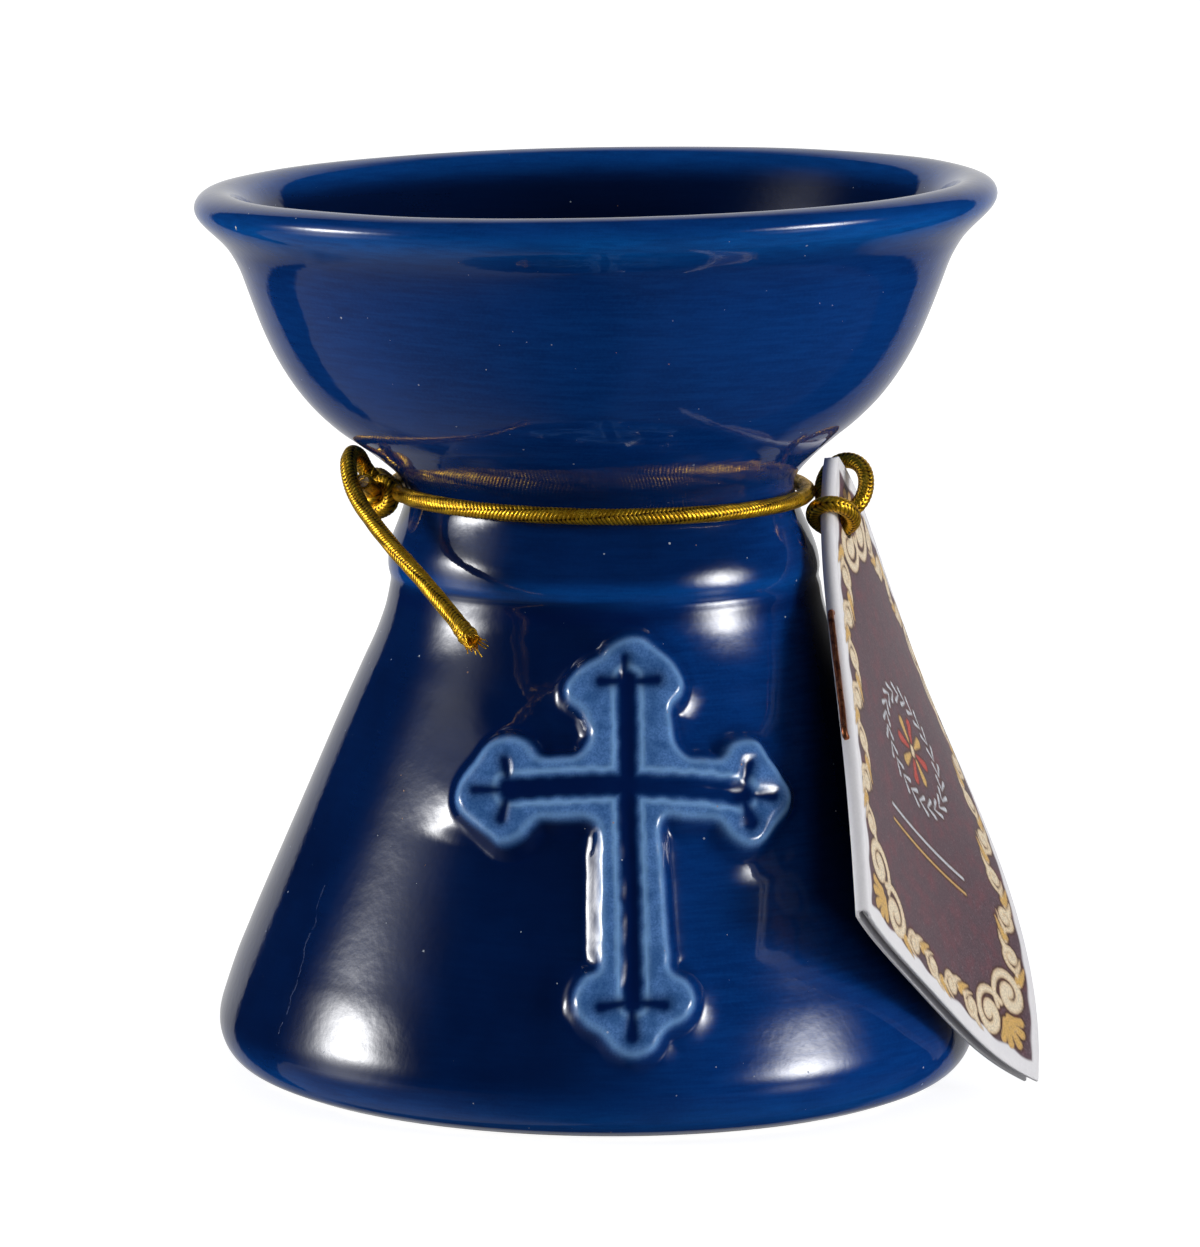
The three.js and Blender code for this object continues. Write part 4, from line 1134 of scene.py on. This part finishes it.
pool[front] = np.clip(smooth(0.20, -0.46, dall) * smooth(0.3, -0.2, sd) * (1 - 0.30 * across) + 0.40 * np.exp(-((sd - 0.95) / 0.6) ** 2)
                      + 0.42 * np.exp(-(np.maximum(dp_, 0) / 0.50) ** 2) * smooth(0.0, -0.5, sd), 0, 1)
# painted shade: the bowl's inside darkened below the lip, where the rim keeps the side light off
bowl_inside_shade = np.where(row_zone[:, None] > 1.5, smooth(79.6, 76.6, ZZ), 0.0)

XD, YD, ZD = X + NX * (H + wob), Y + NY * (H + wob), ZZ + NZ * (H + wob)
ZD2 = ZD + warp_t(ZD) * XD
XD2 = XD + warp_x(ZD)
YD2 = YD
foot_flat = (Z < 0.02) & (row_zone < 1.5)
ZD2[foot_flat] = 0.0
ZD2 = np.maximum(ZD2, 0.0)

# glaze thickness and bare clay, from the height on the outside, with painted floor light at the foot and a painted
# shadow of the tag on the cone
zr = Z[:, None] + 0.0 * X
isout = (outside[:, None]) & (zr >= 0)
paler_glaze_and_floor_light = np.zeros_like(X)
ang = theta[None] + 0 * X
lip = np.exp(-((zr - 77.3) / 1.25) ** 2)
paler_glaze_and_floor_light += np.where(isout, lip * (0.85 + 0.25 * bumpy(np.stack([np.cos(ang) * 3, np.sin(ang) * 3, zr / 9], -1), 31)), 0)
paler_glaze_and_floor_light += np.where(isout, 0.34 * np.exp(-((zr - 45.7) / 0.75) ** 2), 0)
# round the foot: thinner glaze, paler, with a painted band of light from the floor where the side turns under
paler_glaze_and_floor_light += np.where(isout, 0.34 * np.exp(-((zr - 1.9 - 0.5 * bumpy(np.stack([np.cos(ang) * 4, np.sin(ang) * 4, 0 * zr], -1), 41)) / 1.3) ** 2), 0)
paler_glaze_and_floor_light += np.where(isout, 0.05 * smooth(58, 63, zr) * smooth(74, 68, zr), 0)
phi_ = np.degrees(np.mod(ang + 1.5 * np.pi, 2 * np.pi) - np.pi)  # 0 in front, negative to the left
phi_ = phi_ - 180 * np.sign(phi_) * 0
# darker cobalt over the front and left of the cone
thick = np.where(isout & (zr < 45.2), smooth(20.0, -8.0, phi_) * smooth(-165, -125, phi_) * smooth(1.5, 6.0, zr), 0)
# and round the neck between the collar and the bowl, fading out to the right
thick = np.maximum(thick, np.where(isout & (zr >= 45.2), 0.72 * smooth(46.0, 47.2, zr) * smooth(58.0, 54.0, zr) * smooth(70.0, 25.0, phi_), 0))
# painted shadow: the right of the cone is darkened where the tag's shadow falls, its edge running further out below z
# 20
tag_shadow_paint = smooth(-1.3, 1.1, X - 18.4 - 0.97 * np.maximum(0, 20 - zr)) * (Y < 0) * smooth(45.0, 43.5, zr)
thick = np.maximum(thick, np.where(isout, tag_shadow_paint, 0))
thick = thick * (1 - plate)
inner_lip = (row_zone[:, None] > 1.5) & (zr > 77)
paler_glaze_and_floor_light += np.where(inner_lip, 0.25 * smooth(77.5, 79.2, zr), 0)
# a darker band just under the collar's edge
pool += np.where(isout, 0.75 * np.exp(-((zr - 43.7) / 0.8) ** 2), 0)
bare = np.where(isout, smooth(1.3, 0.2, zr) * 0.62, 0.0)
bare = np.where((row_zone[:, None] < 0.5), 0.30 + 0.70 * smooth(0.0, 6.0, np.abs(row_s[:, None] - row_s[np.argmin(np.abs(Z - 0.0) + 9 * (row_zone > 0.5))])), bare)
bare = np.where(foot_flat[:, None] & (R[:, None] > 20), 1.0, bare)

rows_, cols_ = X.shape
pts3 = np.stack([XD2, YD2, ZD2], -1)
verts = np.vstack([pts3[1:-1].reshape(-1, 3), [[warp_x(Z[0]), 0, Z[0]]], [[warp_x(Z[-1]), 0, Z[-1]]]])
nv = (rows_ - 2) * cols_
faces = grid_faces(rows_ - 2, cols_, True)
# the line runs up the outside, so this order faces out
faces = faces.tolist()
last = (rows_ - 3) * cols_
faces += [[(j + 1) % cols_, j, nv] for j in range(cols_)]
faces += [[last + j, last + (j + 1) % cols_, nv + 1] for j in range(cols_)]


def flat_attr(a, first=0.0, final=0.0):
    return np.r_[a[1:-1].ravel(), first, final]


ceramic = make("ceramic_glazed", verts, faces, GLAZE, "burner",
               {"paler_glaze_and_floor_light": flat_attr(paler_glaze_and_floor_light), "plate": flat_attr(plate), "edge": flat_attr(edge), "pool": flat_attr(np.clip(pool, 0, 1)),
                "bare": flat_attr(bare, 1.0, 0.0), "bowl_shade": flat_attr(bowl_inside_shade, 0.0, 1.0), "thick": flat_attr(thick)})
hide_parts("ceramic_body", "cross_relief")


# =====================================================================
# plain pale floor and soft studio light
# =====================================================================
fm, FN, fb = material("floor_pale")
FN.put(fb.inputs["Base Color"], (0.55, 0.55, 0.56, 1.0))
fb.inputs["Roughness"].default_value = 0.9
fb.inputs["Specular IOR Level"].default_value = 0.0
fb.inputs["Emission Color"].default_value = (1.0, 1.0, 1.0, 1.0)
fb.inputs["Emission Strength"].default_value = 0.86
see_through = FN.add("ShaderNodeBsdfTransparent")
floor_mix = FN.add("ShaderNodeMixShader")
FN.put(floor_mix.inputs[0], FN.add("ShaderNodeNewGeometry").outputs["Backfacing"])
fm.node_tree.links.new(fb.outputs[0], floor_mix.inputs[1])
fm.node_tree.links.new(see_through.outputs[0], floor_mix.inputs[2])
fm.node_tree.links.new(floor_mix.outputs[0], next(x for x in fm.node_tree.nodes if x.type == "OUTPUT_MATERIAL").inputs[0])
n = 64
a = np.linspace(0, 2 * np.pi, n, endpoint=False)
fl = bpy.data.meshes.new("floor")
fl.from_pydata([(2.2 * math.cos(x), 2.2 * math.sin(x), -0.00005) for x in a], [], [tuple(range(n))])
fl.materials.append(fm)
floor = bpy.data.objects.new("floor", fl)
bpy.context.scene.collection.objects.link(floor)
floor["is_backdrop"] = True
floor.visible_glossy = False
floor.visible_diffuse = False
floor.visible_shadow = False

world = bpy.data.worlds.new("studio")
bpy.context.scene.world = world
world.use_nodes = True
W = Nodes(world.node_tree)
wout = W.add("ShaderNodeOutputWorld")
vec = W.add("ShaderNodeTexCoord").outputs["Generated"]
sep = W.add("ShaderNodeSeparateXYZ")
W.put(sep.inputs[0], vec)
x_, y_, z_ = sep.outputs
az = W.math("DEGREES", W.math("ARCTAN2", x_, y_))
el = W.math("DEGREES", W.math("ARCSINE", W.math("MINIMUM", W.math("MAXIMUM", z_, -1.0), 1.0)))


def lobe(amount, az0, el0, sa_, se_):
    da = W.math("DIVIDE", W.minus(az, az0), sa_)
    de = W.math("DIVIDE", W.minus(el, el0), se_)
    q_ = W.plus(W.mul(da, da), W.mul(de, de))
    return W.mul(W.math("EXPONENT", W.mul(q_, -0.5)), amount)


light = lobe(31.0, -98.0, 12.4, 6.8, 3.7)
light = W.plus(light, lobe(0.9, -98.0, 25.0, 10.0, 8.0))
light = W.plus(light, lobe(5.0, -98.0, 6.0, 9.0, 6.0))
light = W.plus(light, lobe(1.9, -98.0, -12.0, 9.0, 7.0))
light = W.plus(light, lobe(27.0, 114.0, 9.3, 7.5, 5.0))
light = W.plus(light, lobe(1.5, 117.0, -13.0, 6.0, 5.0))
# bright sweep behind the object
back_mask = W.mul(W.ramp(az, -38.5, -35.0), W.ramp(az, 42.5, 39.0))
back_level = W.ramp(el, -42.0, 4.0, 0.22, 0.72)
back_level = W.mul(back_level, W.ramp(W.math("ABSOLUTE", az), 10.0, 60.0, 1.0, 0.35))
back_all = W.mul(back_mask, W.mul(back_level, W.ramp(el, -46.0, -40.0)))
back_all = W.mul(back_all, W.ramp(el, 60.0, 35.0))
light = W.plus(light, back_all)
# table seen to the left, darker to the right and in front
lim = W.ramp(az, -70.0, -42.0, -14.0, -40.0, "LINEAR")
left_mask = W.mul(W.ramp(W.minus(el, lim), 0.8, -0.8), W.ramp(az, -178.0, -60.0))
left_mask = W.mul(left_mask, W.ramp(az, -30.0, -42.0))
light = W.plus(light, W.mul(left_mask, 0.21))
light = W.plus(light, W.mul(W.ramp(el, -36.0, -50.0), 0.010))
right_mask = W.mul(W.mul(W.ramp(az, 60.0, 64.0), W.ramp(az, 178.0, 150.0)), W.ramp(el, -8.0, -22.0))
light = W.plus(light, W.mul(right_mask, 0.03))
light = W.plus(light, 0.006)
lp = W.add("ShaderNodeLightPath")
fill = W.plus(lobe(0.6, 80.0, 12.0, 38.0, 35.0), 0.16)
light = W.plus(light, W.mul(fill, lp.outputs["Is Diffuse Ray"]))
bg = W.add("ShaderNodeBackground")
W.put(bg.inputs["Strength"], light)
bg.inputs["Color"].default_value = (1, 1, 1, 1)
white = W.add("ShaderNodeBackground")
white.inputs["Color"].default_value = (1, 1, 1, 1)
white.inputs["Strength"].default_value = 1.0
mixs = W.add("ShaderNodeMixShader")
W.put(mixs.inputs[0], lp.outputs["Is Camera Ray"])
W.tree.links.new(bg.outputs[0], mixs.inputs[1])
W.tree.links.new(white.outputs[0], mixs.inputs[2])
W.tree.links.new(mixs.outputs[0], wout.inputs[0])

lo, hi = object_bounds()
